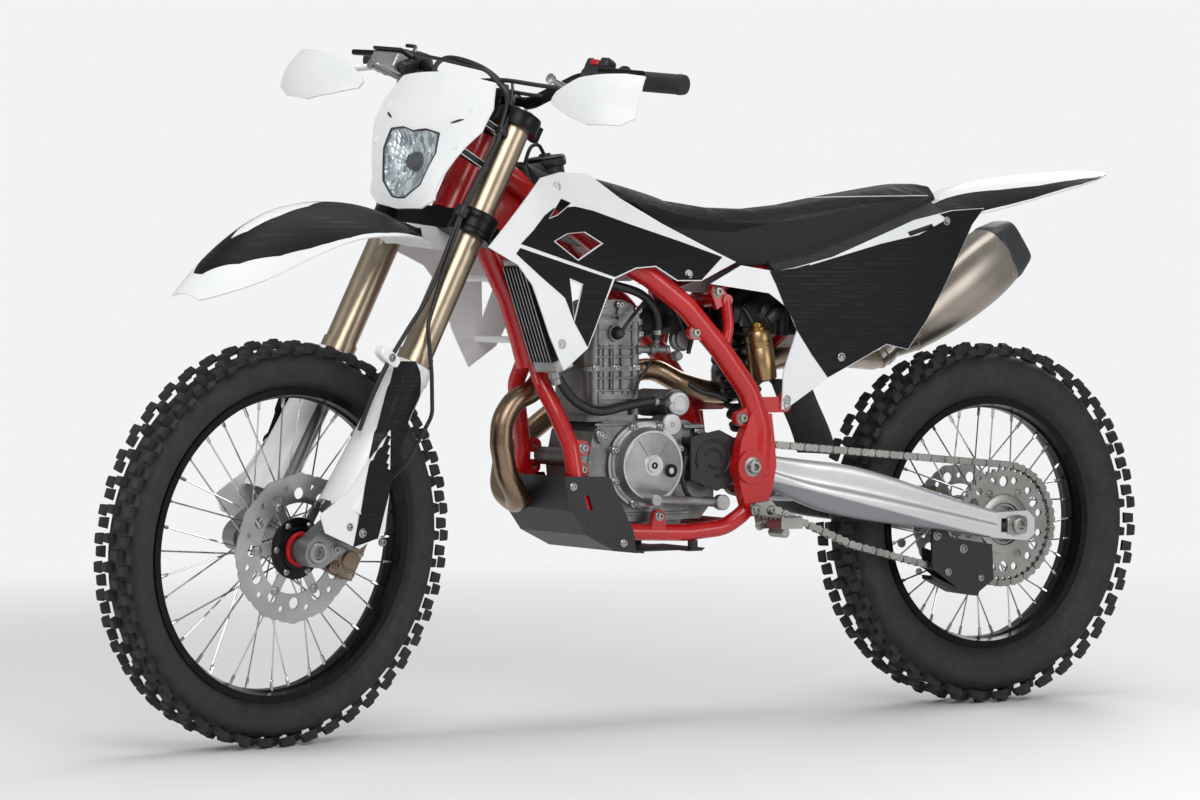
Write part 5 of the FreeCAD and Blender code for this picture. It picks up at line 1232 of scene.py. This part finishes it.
show("water_hoses", [
    hose([(992, 84, 640), (976, 80, 622), (957, 78, 598), (931, 77, 577), (890, 77, 564),
          (838, 77, 572), (785, 76, 580), (755, 72, 578)], 8.5),
    hose([(985, 70, 812), (945, 66, 806), (900, 66, 798), (850, 66, 786), (800, 66, 772),
          (768, 66, 746), (760, 65, 716), (764, 64, 688)], 8),
    hose([(780, 70, 650), (790, 72, 636), (806, 73, 616), (815, 72, 592)], 3),
    hose([(742, 52, 778), (724, 54, 752), (708, 56, 726), (698, 56, 700)], 6.5),
    hose([(720, 60, 770), (700, 66, 740), (690, 68, 700), (694, 62, 664)], 4),
    hose([(724, 100, 482), (731, 100, 448), (722, 98, 418), (700, 96, 401), (672, 94, 398)], 4.5),
    hose([(700, 74, 610), (676, 78, 596), (650, 80, 590), (626, 82, 580)], 5)],
     "chassis", "hose_rubber")
show("hose_clips", [
    turned(at, way, [(10.4, -4), (10.4, 4)], 18) for at, way in (
        ((984, 82, 632), (-0.6, -0.1, -0.75)), ((774, 74, 580), (1, 0.1, 0)),
        ((970, 68, 810), (1, 0, 0.1)), ((762, 64, 702), (0, 0, 1)))], "chassis", "steel")
show("plug_cap", [turned((848, 66, 702), ACROSS, [(12, -2), (12, 4), (9, 8), (9, 14),
                                                  (6, 17)], 20),
                  hose([(848, 80, 702), (836, 84, 720), (812, 78, 742), (790, 70, 760)], 3.2)],
     "chassis", "hose_rubber")


def core(points):
    """The radiator's own frame, leaned 19 degrees and set on the left of the downtube."""
    x, y, z = np.asarray(points, float).T
    middle_x, middle_y, middle_z = 1028, 94, 742
    lean = math.radians(19)
    return bike(np.column_stack([middle_x + x * math.cos(lean) + z * math.sin(lean), middle_y + y,
                                 middle_z - x * math.sin(lean) + z * math.cos(lean)]))


show("radiator_tanks", [block((0, 0, 94), (36, 74, 14), 10, 24, 1.5),
                        block((0, 0, -98), (36, 74, 22), 10, 24, 1.5),
                        turned((4, 0, -108), (0, 0, -1),
                               [(11, 0), (11, 14), (9, 16), (9, 26)], 24)],
     "chassis", "lever_alloy", core, slot="radiator_alloy")
show("louvre_edges", [block((22.4, y, 0), (1.8, 2.8, 175), 8, 12, 0.3)
                      for y in np.linspace(-33, 33, 7)],
     "chassis", "lever_alloy", core, slot="radiator_alloy")
show("sprocket_cover_ridge", [
    tube(np.column_stack([662 + r * np.cos(t), np.full(40, 99.5), 474 + r * np.sin(t)]), 2.6, 8)
    for r, t in ((np.linspace(38, 30, 40), np.linspace(-0.4, 4.6, 40)),
                 (np.linspace(20, 14, 40), np.linspace(0.4, 5.6, 40)))],
     "chassis", "black_plastic")


# Suspension, exhaust and running gear.

SHOCK_TOP = np.array([596.0, 0.0, 760.0])
SHOCK_FOOT = np.array([500.0, 0.0, 476.0])
SHOCK_WAY = (SHOCK_TOP - SHOCK_FOOT) / np.linalg.norm(SHOCK_TOP - SHOCK_FOOT)


def coil_spring(radius, wire, turns, start, length):
    """A helix: radius (cos, sin) of its turn, rising evenly along the shock's axis."""
    side = np.cross(SHOCK_WAY, [0, 1.0, 0])
    points_per_turn = 28
    t = np.linspace(0, 1, int(turns * points_per_turn))
    angle = 2 * math.pi * turns * t
    path = (SHOCK_FOOT + SHOCK_WAY * start + SHOCK_WAY * (length * t)[:, None]
            + radius * (np.cos(angle)[:, None] * side + np.sin(angle)[:, None] * [0, 1.0, 0]))
    return tube(path, wire, 10)


RESERVOIR_WAY = (16, 0, 92)
show("shock_body", [
    turned(SHOCK_FOOT, SHOCK_WAY, [(11, 6), (13, 26), (20, 28), (20, 56), (36, 57), (38, 60),
                                   (38, 70), (10, 71), (10, 160), (24, 162), (25, 214), (38, 215),
                                   (39, 218), (39, 228), (31, 230), (31, 250), (26, 256),
                                   (18, 282), (13, 288)], 36),
    turned(SHOCK_TOP - [0, 14, 0], ACROSS, [(13, 0), (15, 1), (15, 27), (13, 28)], 24),
    turned(SHOCK_FOOT - [0, 14, 0], ACROSS, [(13, 0), (15, 1), (15, 27), (13, 28)], 24),
    block((566, 40, 702), (34, 66, 20), 4, 24, 2)],
     "chassis", "black_alloy", slot="shock_parts", replaced=["shock_absorber"])
show("shock_spring", [coil_spring(32, 6, 6.6, 74, 140)],
     "chassis", "rod_black", slot="shock_parts")
show("shock_reservoir", [turned((537, 72, 614), RESERVOIR_WAY, [
    (8, -2), (20, 0), (24, 3), (24.6, 12), (25, 14), (25, 60), (24.4, 61), (24.4, 63), (25, 64),
    (25, 70), (24.2, 71), (24.2, 73), (25, 74), (25, 88), (22, 93), (12, 94)], 40)],
     "chassis", "gold", slot="shock_parts")
show("reservoir_cap", [turned((553, 72, 707), RESERVOIR_WAY, [
    (17, -2), (17, 3), (12, 4), (12, 11), (10, 13), (5, 13)], 24)],
     "chassis", "brass", slot="shock_parts")
show("reservoir_pipe", [hose([(560, 70, 716), (572, 60, 742), (584, 40, 748), (590, 22, 730)], 6),
                        hose([(530, 74, 722), (512, 78, 738), (498, 72, 730), (490, 60, 700)],
                             13, 18),
                        turned((520, 60, 736), (0.2, 1, 0.1), [(18, 0), (20, 4), (20, 16),
                                                               (15, 18)], 24),
                        turned((592, 58, 738), (-0.1, 0.3, 1), [(12, -18), (14, -14), (14, 8),
                                                               (9, 12)], 20)],
     "chassis", "hose_rubber", slot="shock_parts")

SILENCER_START = np.array([100.0, -148.0, 668.0])
SILENCER_WAY = np.array([-270.0, -6.0, 187.0])
SILENCER_WAY /= np.linalg.norm(SILENCER_WAY)
SILENCER_UP = np.array([SILENCER_WAY[2], 0.0, -SILENCER_WAY[0]])
SILENCER_LENGTH = 360.0


def along_silencer(share, half_width, half_height, squareness=3.0):
    """One section across the silencer, at a share of its length."""
    middle = SILENCER_START + SILENCER_WAY * SILENCER_LENGTH * share
    return ring(middle, (0, half_width, 0), SILENCER_UP * half_height, squareness, 48)


show("silencer_end_cap", [lofted([along_silencer(*s) for s in (
    (0.84, 50.4, 58.4, 3.0), (0.845, 51.4, 59.4, 3.0), (0.885, 51.4, 59.4, 3.2),
    (0.90, 49.5, 57.5, 3.6), (0.985, 41, 48.5, 4.4), (1.0, 38.6, 46.2, 4.4),
    (1.0, 24, 26, 2.2), (0.965, 22, 24, 2.0))])], "chassis", "carbon_cap", slot="titanium")
show("silencer_bands", [lofted([along_silencer(*s) for s in (
    (0.115, 33.8, 38.0), (0.118, 35.4, 39.4), (0.150, 37.4, 41.8), (0.154, 36.2, 40.8))]),
    lofted([along_silencer(*s) for s in (
        (0.81, 50.0, 58.0), (0.812, 51.2, 59.2), (0.838, 51.2, 59.2), (0.84, 50.2, 58.2))]),
    turned(SILENCER_START - SILENCER_WAY * 40, SILENCER_WAY, [(20.6, 0), (23, 2), (23, 14),
                                                              (25.6, 16), (25.6, 30)], 32)],
     "chassis", "titanium", smooth=False)


def rivet(high, side):
    """A rivet through the silencer's rear band, high above its middle line."""
    out = np.array([0, side * (50.6 - abs(high) * 0.05), 0])
    return turned(SILENCER_START + SILENCER_WAY * 296 + SILENCER_UP * high + out, (0, side, 0),
                  [(3.2, -1.5), (3.2, 1.2), (1.6, 2.2)], 10)


show("silencer_rivets", [rivet(high, side) for side in (1, -1) for high in (-34, -12, 12, 34)],
     "chassis", "steel")
show("silencer_pad", [block(SILENCER_START + SILENCER_WAY * 150 + SILENCER_UP * 38 + [0, 37, 0],
                            (60, 8, 18), 3.4, 28, 2, -34.7)], "chassis", "black_plastic")

AXLE_FACE = 118.0
show("axle_blocks", both_sides([
    block((0, AXLE_FACE + 3, 338), (46, 8, 34), 5, 24, 1.6),
    block((40, 107, 338), (14, 16, 24), 5, 20, 1.5),
    turned((46, 107, 338), (1, 0, 0), [(4, -10), (4, 16), (8, 17), (8, 23), (4, 24)], 6)]),
     "chassis", "lever_alloy")
show("axle_nuts", both_sides([
    turned((0, 124, 338), ACROSS, [(19, -3), (19, 1.5), (16, 3), (16, 9), (14, 10.5), (9, 10.5),
                                   (8.4, 4)], 24)]), "chassis", "steel")
show("arm_bolts", both_sides([bolt(142, 98.4, 254, 5), bolt(107, 98.4, 296, 6),
                              bolt(168, 98.4, 322, 6), bolt(66, 98.4, 240, 4.5)]),
     "chassis", "steel")
show("peg_teeth", both_sides([
    block((x, y, 371), (5, 3.4, 8), 8, 8, 0.8) for y in (146, 153, 165, 173, 182, 190, 198, 203)
    for x in (545, 585)] + [bolt(567, 141, 383, 6), bolt(592, 141, 356, 6),
                            turned((566, 150, 344), ACROSS, [(9, -8), (9, 34), (7, 36)], 18)]),
     "chassis", "steel")
show("lever_ends", [
    turned((655, 104, 398), ACROSS, [(14, 0), (14, 14), (12, 16), (6, 16)], 24),
    turned((822, 131, 408), ACROSS, [(10.6, 0), (10.6, 28), (9, 30)], 20),
    turned((608, -136, 408), (0, -1, 0), [(14, -6), (14, 10), (12, 12), (6, 12)], 24)],
     "chassis", "lever_alloy")
# Painted shade: dark strips laid on the skid plate where its slots are, standing for the shade
# inside them.
show("skid_slot_shade", both_sides([block((926, 113, 362), (24, 1.4, 8), 5, 16, 0.4, 36),
                               block((884, 113, 334), (24, 1.4, 8), 5, 16, 0.4, 18)]),
     "chassis", "hose_rubber", slot="black_plastic")
show("skid_bolts", both_sides([bolt(966, 113, 434, 5), bolt(862, 113, 332, 5)]),
     "chassis", "steel")


# Wheel centres.

DISC_RIVETS = np.arange(6) * math.pi / 3
show("front_hub_cap", [turned((0, 58.4, 0), ACROSS, [
    (53, -3), (53, 1.6), (51, 3), (38, 4), (36, 8), (28, 9), (12, 9), (12, 2), (26.4, 2),
    (26.4, -3)], 48, True)], "front_wheel", "black_alloy", front_wheel, slot="rim_anodising")
show("front_seal_ring", [turned((0, 66, 0), ACROSS, [
    (30, 0), (30, 4), (28, 7), (24, 7), (22.4, 5), (22.4, 0)], 36, True)],
     "front_wheel", "red_plastic", front_wheel, slot="frame_paint")
show("front_spacers", [
    turned((0, 67.9, 0), ACROSS, [(20, 0), (21, 1), (21, 15), (19, 16.8), (11.2, 16.8),
                                  (11.2, 0)], 32, True),
    turned((0, -54.6, 0), (0, -1, 0), [(20, 0), (20, 28), (18, 30), (11.2, 30), (11.2, 0)], 32,
           True)], "steering", "lever_alloy", front_wheel)
show("front_disc_bolts", [bolt(*at, 4) for at in places_round(0, 61.6, 0, 45, DISC_RIVETS)]
     + [turned(at, ACROSS, [(8, -1), (8, 4.4), (6.6, 5.4), (3.6, 5.4), (3.4, 4.2)], 18)
        for at in places_round(0, 55, 0, 82, DISC_RIVETS)], "front_wheel", "steel", front_wheel)
show("rear_disc_bolts", [bolt(*at, 4.5) for at in places_round(0, -64, 0, 52, DISC_RIVETS)],
     "rear_wheel", "steel", rear_wheel)
show("sprocket_bolts", [bolt(*at, 5) for at in places_round(0, 81, 0, 66, DISC_RIVETS)]
     + [turned((0, 81, 0), ACROSS,
               [(57, -1), (57, 1.4), (55, 2.6), (40, 2.6), (38, 1), (38, -1)], 48, True)],
     "rear_wheel", "steel", rear_wheel)
show("rear_spacers", [
    turned((0, 70.8, 0), ACROSS, [(24, 0), (23, 3), (23, 24.6), (12.8, 24.6), (12.8, 0)], 32,
           True),
    turned((0, -66.8, 0), (0, -1, 0), [(24, 0), (23, 3), (23, 12.6), (12.8, 12.6), (12.8, 0)], 32,
           True)], "chassis", "lever_alloy", rear_wheel)
for wheel, place, radius, width in (("front_wheel", front_wheel, 271, 46),
                                    ("rear_wheel", rear_wheel, 237, 58)):
    show(wheel + "_bead_rings", both_sides([turned((0, width / 2 + 6.4, 0), ACROSS, [
        (radius + 9 + 1.8 * math.cos(t), 1.8 * math.sin(t))
        for t in np.arange(8) * math.pi / 4], 160, True)]), wheel, "tyre", place)


# Front end. These are drawn in the fork's own frame, Z up the steering axis.

LUG_FACE = 117.0
show("fork_bolts", both_sides([
    turned((57, LUG_FACE, 0), ACROSS, [(19, -2), (19, 2), (17.5, 4), (12, 4), (10.5, 1),
                                       (7.6, 1), (7, -2)], 32),
    bolt(26, LUG_FACE, 20, 6), bolt(18, LUG_FACE, 56, 5),
    bolt(10, 147, 62, 5.5), bolt(-38, 147, 66, 5), bolt(40, 147, 60, 4.5),
    turned((-5, 100, 644), (-1, 0, 0), [(6, -4), (6, 30), (4.6, 32)], 14),
    turned((-5, 100, 624), (-1, 0, 0), [(6, -4), (6, 30), (4.6, 32)], 14),
    turned((22, 105, 855), (0, 0, 1), [(22, -1), (22, 2), (15, 3), (8, 3), (7, 7), (5, 7)],
           24)]), "steering", "steel", fork)
show("clamp_collars", both_sides([
    turned((22, 105, 612), (0, 0, 1), [(39.5, 0), (40.2, 2), (40.2, 12), (39, 14), (39, 28),
                                       (40.2, 30), (40.2, 42), (39.5, 44)], 40),
    turned((22, 105, 821), (0, 0, 1), [(39.4, 0), (40, 2), (40, 26), (39.4, 28)], 40)]),
     "steering", "black_alloy", fork)
show("caliper_pistons", [
    turned((-44, 76, 64), ACROSS, [(17, -2), (17, 3), (15, 5), (13, 5)], 28),
    turned((-44, 76, 24), ACROSS, [(17, -2), (17, 3), (15, 5), (13, 5)], 28),
    block((-40, 73, 44), (44, 9, 84), 4, 32, 2), bolt(-20, 78, 82, 5), bolt(-20, 78, 6, 5)],
     "steering", "caliper_alloy", fork)
show("caliper_bolts", [bolt(-60, 76, 86, 5), bolt(-60, 76, 4, 5), bolt(-62, 76, 44, 4)],
     "steering", "steel", fork)
show("cable_bundle", [
    hose([(30, 60, 905), (50, 96, 876), (57, 122, 819), (67, 124, 711), (72, 125, 632),
          (67, 127, 491), (82, 130, 407), (94, 132, 341), (96, 130, 279), (86, 124, 216)], 3.2),
    hose([(10, 30, 892), (34, 84, 880), (50, 114, 815), (60, 117, 711), (65, 118, 632),
          (60, 120, 491), (75, 123, 407), (87, 126, 341), (88, 124, 279), (80, 118, 220)], 3),
    hose([(20, -150, 892), (70, -110, 908), (104, -30, 910), (92, 62, 896), (58, 100, 866),
          (50, 116, 800)], 4.5),
    hose([(10, 190, 912), (40, 150, 900), (74, 96, 889), (80, 40, 882)], 4),
    hose([(8, 160, 894), (34, 120, 884), (60, 60, 876), (40, -10, 868)], 3.4)],
     "steering", "hose_rubber", fork)
show("cable_clips", [
    turned((68, 122, 640), (0, 0.1, 1), [(11, -9), (12, -7), (12, 7), (11, 9)], 18),
    turned((56, 119, 800), (0.1, 0, -1), [(10, -6), (11, -4), (11, 4), (10, 6)], 18)],
     "steering", "hose_rubber", fork)
show("strap_sleeves", both_sides([block((86, 105, 734), (64, 16, 14), 4, 24, 3),
                                  block((86, 105, 801), (64, 16, 14), 4, 24, 3)]),
     "steering", "hose_rubber", fork)
show("guard_clip", [block((98, 130, 350), (46, 22, 20), 3.4, 24, 2, 8)],
     "steering", "white_plastic", fork)
show("guard_clip_bolt", [bolt(96, 140.5, 350, 5)], "steering", "steel", fork)
# Painted shade: dark strips laid on the mask where its slots are, standing for the shade inside
# them.
show("mask_slot_shade", both_sides([lofted([
    ring((x, y, z), (1.2, 0, 0), (0, 0, high), 2, 12) for x, y, z, high in (
        (135.6, 80, 773, 0.5), (134.6, 87, 776, 2.4), (132.8, 96, 780.5, 2.4),
        (130.4, 104, 784, 0.5))])]), "steering", "hose_rubber", fork, slot="white_plastic")


# Headlight: a clear lens over a faceted reflector.


def mask_surface(y, z):
    """How far ahead the mask stands: most by the lamp, less above, below and to the sides."""
    height = (z - 752) / 114
    crown = 142 - 9 * np.maximum(height, 0) ** 2 - 27 * np.maximum(-height, 0) ** 1.4
    return crown - 24 * (np.abs(y) / 146) ** 2.2


LENS_LEFT = [(0, 632), (18, 634), (52, 659), (72, 716), (66, 752), (30, 756), (0, 750)]
LENS = np.array(LENS_LEFT + [(-y, z) for y, z in reversed(LENS_LEFT[1:-1])], float)
LENS_MIDDLE = np.array([0.0, 700.0])


def lamp_shell(shares, depths, wobble=0.0):
    """Rings that shrink towards the lamp's middle, each set back from the mask's surface.

    wobble pushes every other one of 24 stretches of a ring in and out, as the bowl's flutes.
    """
    rim = evenly(LENS, 96)
    flutes = 12
    facet = wobble * np.sign(np.sin(np.arange(len(rim)) * 2 * math.pi * flutes / len(rim)))
    rings = []
    for share, depth in zip(shares, depths):
        flat = LENS_MIDDLE + (rim - LENS_MIDDLE) * share
        ahead = mask_surface(flat[:, 0], flat[:, 1]) - depth - facet * share
        rings.append(np.column_stack([ahead, flat]))
    return rings


show("lamp_lens", [lofted(lamp_shell([0.02, 0.5, 0.9, 0.975, 0.975, 0.9, 0.5, 0.02],
                                     [-1, -1, -0.6, 0.6, 3, 2.6, 2, 2]))],
     "steering", "lamp_glass", fork)
show("lamp_reflector", [looped(lamp_shell(
    [0.97, 0.9, 0.7, 0.5, 0.3, 0.16, 0.02, 0.02, 0.4, 0.7, 0.97],
    [4, 9, 17, 23, 27, 28, 28, 30, 29, 25, 12], 1.1))],
     "steering", "reflector", fork, slot="lamp_glass", replaced=["headlight"], smooth=False)
show("lamp_surround", [looped(lamp_shell([1.0, 1.0, 0.965, 0.965], [5, -0.8, -0.8, 5]))],
     "steering", "hose_rubber", fork, slot="black_plastic")
show("lamp_bulb", [turned((104, 0, 706), (1, 0, 0), [(17, -8), (17, 10), (15, 13), (9, 14)], 28),
                   block((116, 0, 706), (5, 34, 17), 5, 20, 1)],
     "steering", "grey_plastic", fork, slot="black_plastic")


# Handlebar controls.

BAR_Z = 872.0


def bar(x, y, over):
    """A point given by its height above the bar's middle."""
    return np.array([x, y, BAR_Z + over], float)


GRIP_START = bar(4, 262, 68)
GRIP_END = bar(-24, 420, 80)
GRIP_WAY = (GRIP_END - GRIP_START) / np.linalg.norm(GRIP_END - GRIP_START)


def grip_profile():
    """A grip: inner flange, ribbed sleeve and a rounded end."""
    ribs = [(17.6 if k % 2 else 16.4, 44 + 3.4 * k) for k in range(32)]
    return [(12, 33), (24, 34), (24, 38), (18, 40)] + ribs + [(18, 154), (18, 158), (14, 162),
                                                           (8, 163)]


show("grips_ribbed", both_sides([turned(GRIP_START, GRIP_WAY, grip_profile(), 28)]),
     "steering", "grip_rubber", fork, smooth=False)


def make_levers():
    """The levers and perches as in the CAD; the brake fluid box comes from its own pieces."""
    box_low_x, box_right_y, box_low_z = 23, -241, 939
    zero = fork([[0, 0, 0]])
    axes = fork(np.eye(3)) - zero
    shape = merged(frame["nodes"]["bar_levers"].data)
    shape.verts.ensure_lookup_table()
    x, y, z = ((np.array([tuple(v.co) for v in shape.verts]) - zero) @ np.linalg.inv(axes)).T
    box = np.flatnonzero((x > box_low_x) & (y < box_right_y) & (z > box_low_z))
    bmesh.ops.delete(shape, geom=[shape.verts[k] for k in box], context="VERTS")
    bmesh.ops.holes_fill(shape, edges=[edge for edge in shape.edges if edge.is_boundary])
    shape.verts.index_update()
    points = np.array([tuple(vertex.co) for vertex in shape.verts])
    faces = [[vertex.index for vertex in face.verts] for face in shape.faces]
    shape.free()
    piece("levers_and_perches", points, faces, "steering", "black_alloy", "black_plastic",
          ["bar_levers"])


make_levers()
show("switch_gear", [
    block(bar(10, 246, 76), (40, 46, 34), 4, 28, 4),
    block(bar(14, 222, 84), (22, 14, 26), 4, 24, 3),
    block(bar(20, 268, 86), (26, 20, 20), 4, 24, 3),
    block(bar(6, 218, 62), (34, 16, 34), 4, 24, 3),
    turned(GRIP_START - GRIP_WAY * 44, GRIP_WAY, [(15, 0), (19, 3), (19, 36), (15, 40)], 28),
    block(bar(10, -250, 62), (38, 44, 34), 4, 28, 4),
    block(bar(24, -296, 50), (40, 46, 30), 4, 28, 4),
    block(bar(30, -236, 48), (26, 30, 26), 3, 28, 4),
    block(bar(14, -300, 72), (34, 60, 16), 4, 28, 3),
    turned((4, -262, 940), GRIP_WAY * [1, -1, 1], [(15, -44), (19, -40), (22, -14), (22, 16),
                                                   (16, 20)], 28)],
     "steering", "black_plastic", fork)
show("kill_button", [block(bar(31, 248, 84), (6, 20, 10), 4, 20, 1.5)],
     "steering", "red_plastic", fork, slot="black_plastic")
show("brake_reservoir", [block(bar(46, -272, 46), (34, 72, 34), 5, 28, 2)],
     "steering", "silver_cover", fork)
show("reservoir_lid", [block(bar(46, -272, 66), (38, 80, 7), 5, 28, 1.5),
                       turned(bar(44, -232, 40), (0.1, 1, -0.2), [(8, -6), (11, -2), (9, 2),
                              (11, 6), (9, 10), (11, 14), (8, 18)], 18)],
     "steering", "hose_rubber", fork)
show("guard_mounts", both_sides([
    block(bar(28, 232, 20), (20, 22, 20), 4, 24, 2),
    turned(bar(8, 236, 62), (0.5, -0.1, -1), [(6, -6), (6, 40), (5, 42)], 14),
    turned(bar(26, 236, 22), (0.98, 0.1, -0.1), [(5, 0), (5, 74), (9, 75), (9, 80), (5, 81)],
           14)]), "steering", "lever_alloy", fork)
show("bar_clamps", both_sides([
    block(bar(20, 48, 0), (42, 26, 40), 3.2, 28, 2), bolt(36, 55, 893, 4.5, (0, 0, 1)),
    bolt(4, 55, 893, 4.5, (0, 0, 1))]), "steering", "black_alloy", fork)


# Tank and seat.

show("tank_cap", [turned((954, 0, 1002), (0.16, 0, 1), [
    (34, -6), (36, -3), (36, 6)] + [((34.6 if k % 2 else 35.6), 7 + k * 0.6) for k in range(8)]
    + [(33, 13), (12, 14), (10, 18), (4, 18)], 40),
    hose([(958, 0, 1018), (972, 4, 1034), (990, 8, 1030), (1002, 10, 1006), (1006, 10, 984)], 3.4),
    lofted([ring((996, 0, 962), (34, 0, -10), (0, 46, 0), 3, 36),
            ring((1000, 0, 990), (30, 0, -6), (0, 40, 0), 3, 36),
            ring((998, 0, 1000), (24, 0, -4), (0, 32, 0), 3, 36)])], "chassis", "black_plastic")


def blow_up(seat, free):
    """Lets the cover swell under pressure where it is free, by 7 mm at most."""
    most = 0.007
    frames = 20
    start = mesh_points(seat.data)
    group = seat.vertex_groups.new(name="pinned")
    for index in np.flatnonzero(free < 0.98):
        group.add([int(index)], float(1 - free[index]), "REPLACE")
    cloth = seat.modifiers.new("cloth", "CLOTH")
    cloth.settings.use_pressure = True
    cloth.settings.uniform_pressure_force = 4.0
    cloth.settings.effector_weights.gravity = 0.0
    cloth.settings.vertex_group_mass = "pinned"
    cloth.settings.quality = 4
    cloth.settings.tension_stiffness = 25
    cloth.settings.compression_stiffness = 25
    cloth.point_cache.frame_end = frames
    for step in range(1, frames + 1):
        bpy.context.scene.frame_set(step)
    made = seat.evaluated_get(bpy.context.evaluated_depsgraph_get())
    moved = mesh_points(made.data) - start
    seat.modifiers.clear()
    bpy.context.scene.frame_set(1)
    share = np.minimum(1, most / np.maximum(np.linalg.norm(moved, axis=1), 1e-9))
    seat.data.vertices.foreach_set("co", (start + moved * share[:, None]).ravel())


def make_seat():
    """The foam seat: the CAD solid remeshed, its top drawn in 3 mm, then blown up as cloth.

    What faces down stays pinned to the base.
    """
    thick_wall = 0.005
    drawn_in = 0.003
    seat = bpy.data.objects.new("padded_seat", frame["nodes"]["seat"].data.copy())
    bpy.context.scene.collection.objects.link(seat)
    shape = merged(seat.data)
    shape.normal_update()
    # The side walls' inner faces move in, so the voxels find a wall thick enough to keep.
    for vertex in shape.verts:
        if vertex.normal.y * vertex.co.y < 0 and abs(vertex.normal.y) > 0.3:
            vertex.co.y += math.copysign(thick_wall, vertex.normal.y)
    shape.to_mesh(seat.data)
    shape.free()
    remesh = seat.modifiers.new("voxels", "REMESH")
    remesh.mode = "VOXEL"
    remesh.voxel_size = 0.0046
    even = seat.modifiers.new("even", "SMOOTH")
    even.factor, even.iterations = 0.5, 2
    apply_modifiers(seat)
    mesh = seat.data
    start = mesh_points(mesh)
    normals = np.array([vertex.normal for vertex in mesh.vertices])
    free = np.clip((normals[:, 2] + 0.25) / 0.5, 0, 1)
    # The inner faces of the side walls stay where they are, and only the top is drawn in.
    free[(normals[:, 1] * start[:, 1] < 0) & (np.abs(normals[:, 1]) > 0.5)] = 0
    upward = np.clip((normals[:, 2] - 0.3) / 0.4, 0, 1)
    mesh.vertices.foreach_set("co", (start - normals * drawn_in * upward[:, None]).ravel())
    blow_up(seat, free)
    mesh.update()
    finer = seat.modifiers.new("finer", "SUBSURF")
    finer.levels = finer.render_levels = 1
    apply_modifiers(seat)
    seat.data.polygons.foreach_set("use_smooth", np.full(len(seat.data.polygons), True))
    seat.data.materials.clear()
    seat.data.materials.append(FINISH["seat_cover"])
    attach(seat, "chassis")
    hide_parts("seat")


SEAT_HEM = np.array([(542, 821, 98), (454, 838, 100), (342, 876, 96), (229, 916, 82),
                     (140, 944, 56)], float)[::-1]
PANEL_TOP = np.array([(552, 812), (505, 818), (420, 838), (330, 871), (232, 906), (140, 925)],
                     float)[::-1]


def seat_skirt():
    """The cover's lower edge, carried out from the seat's hem to the top of the side panel.

    Along x, the hem's height and half width and the panel's top are read off their outlines.
    """
    rings = []
    for x in np.linspace(546, 160, 60):
        hem = np.interp(x, SEAT_HEM[:, 0], SEAT_HEM[:, 1])
        half = np.interp(x, SEAT_HEM[:, 0], SEAT_HEM[:, 2])
        top = np.interp(x, PANEL_TOP[:, 0], PANEL_TOP[:, 1])
        out = panel_surface(x, top) - 4
        section = [(half - 4, hem + 12), (half + 1.2, hem + 12), (half + 3, hem + 4),
                   (out, top + 1), (out - 1, top - 7), (half - 4, hem - 3)]
        rings.append(np.array([(x, y, z) for y, z in section]))
    return lofted(rings)


make_seat()
show("seat_skirts", both_sides([seat_skirt()]), "chassis", "seat_cover")
show("panel_slot_backs", both_sides([block((217, 105, 888), (80, 2, 26), 6, 20, 0.5, -15)]),
     "chassis", "black_plastic")
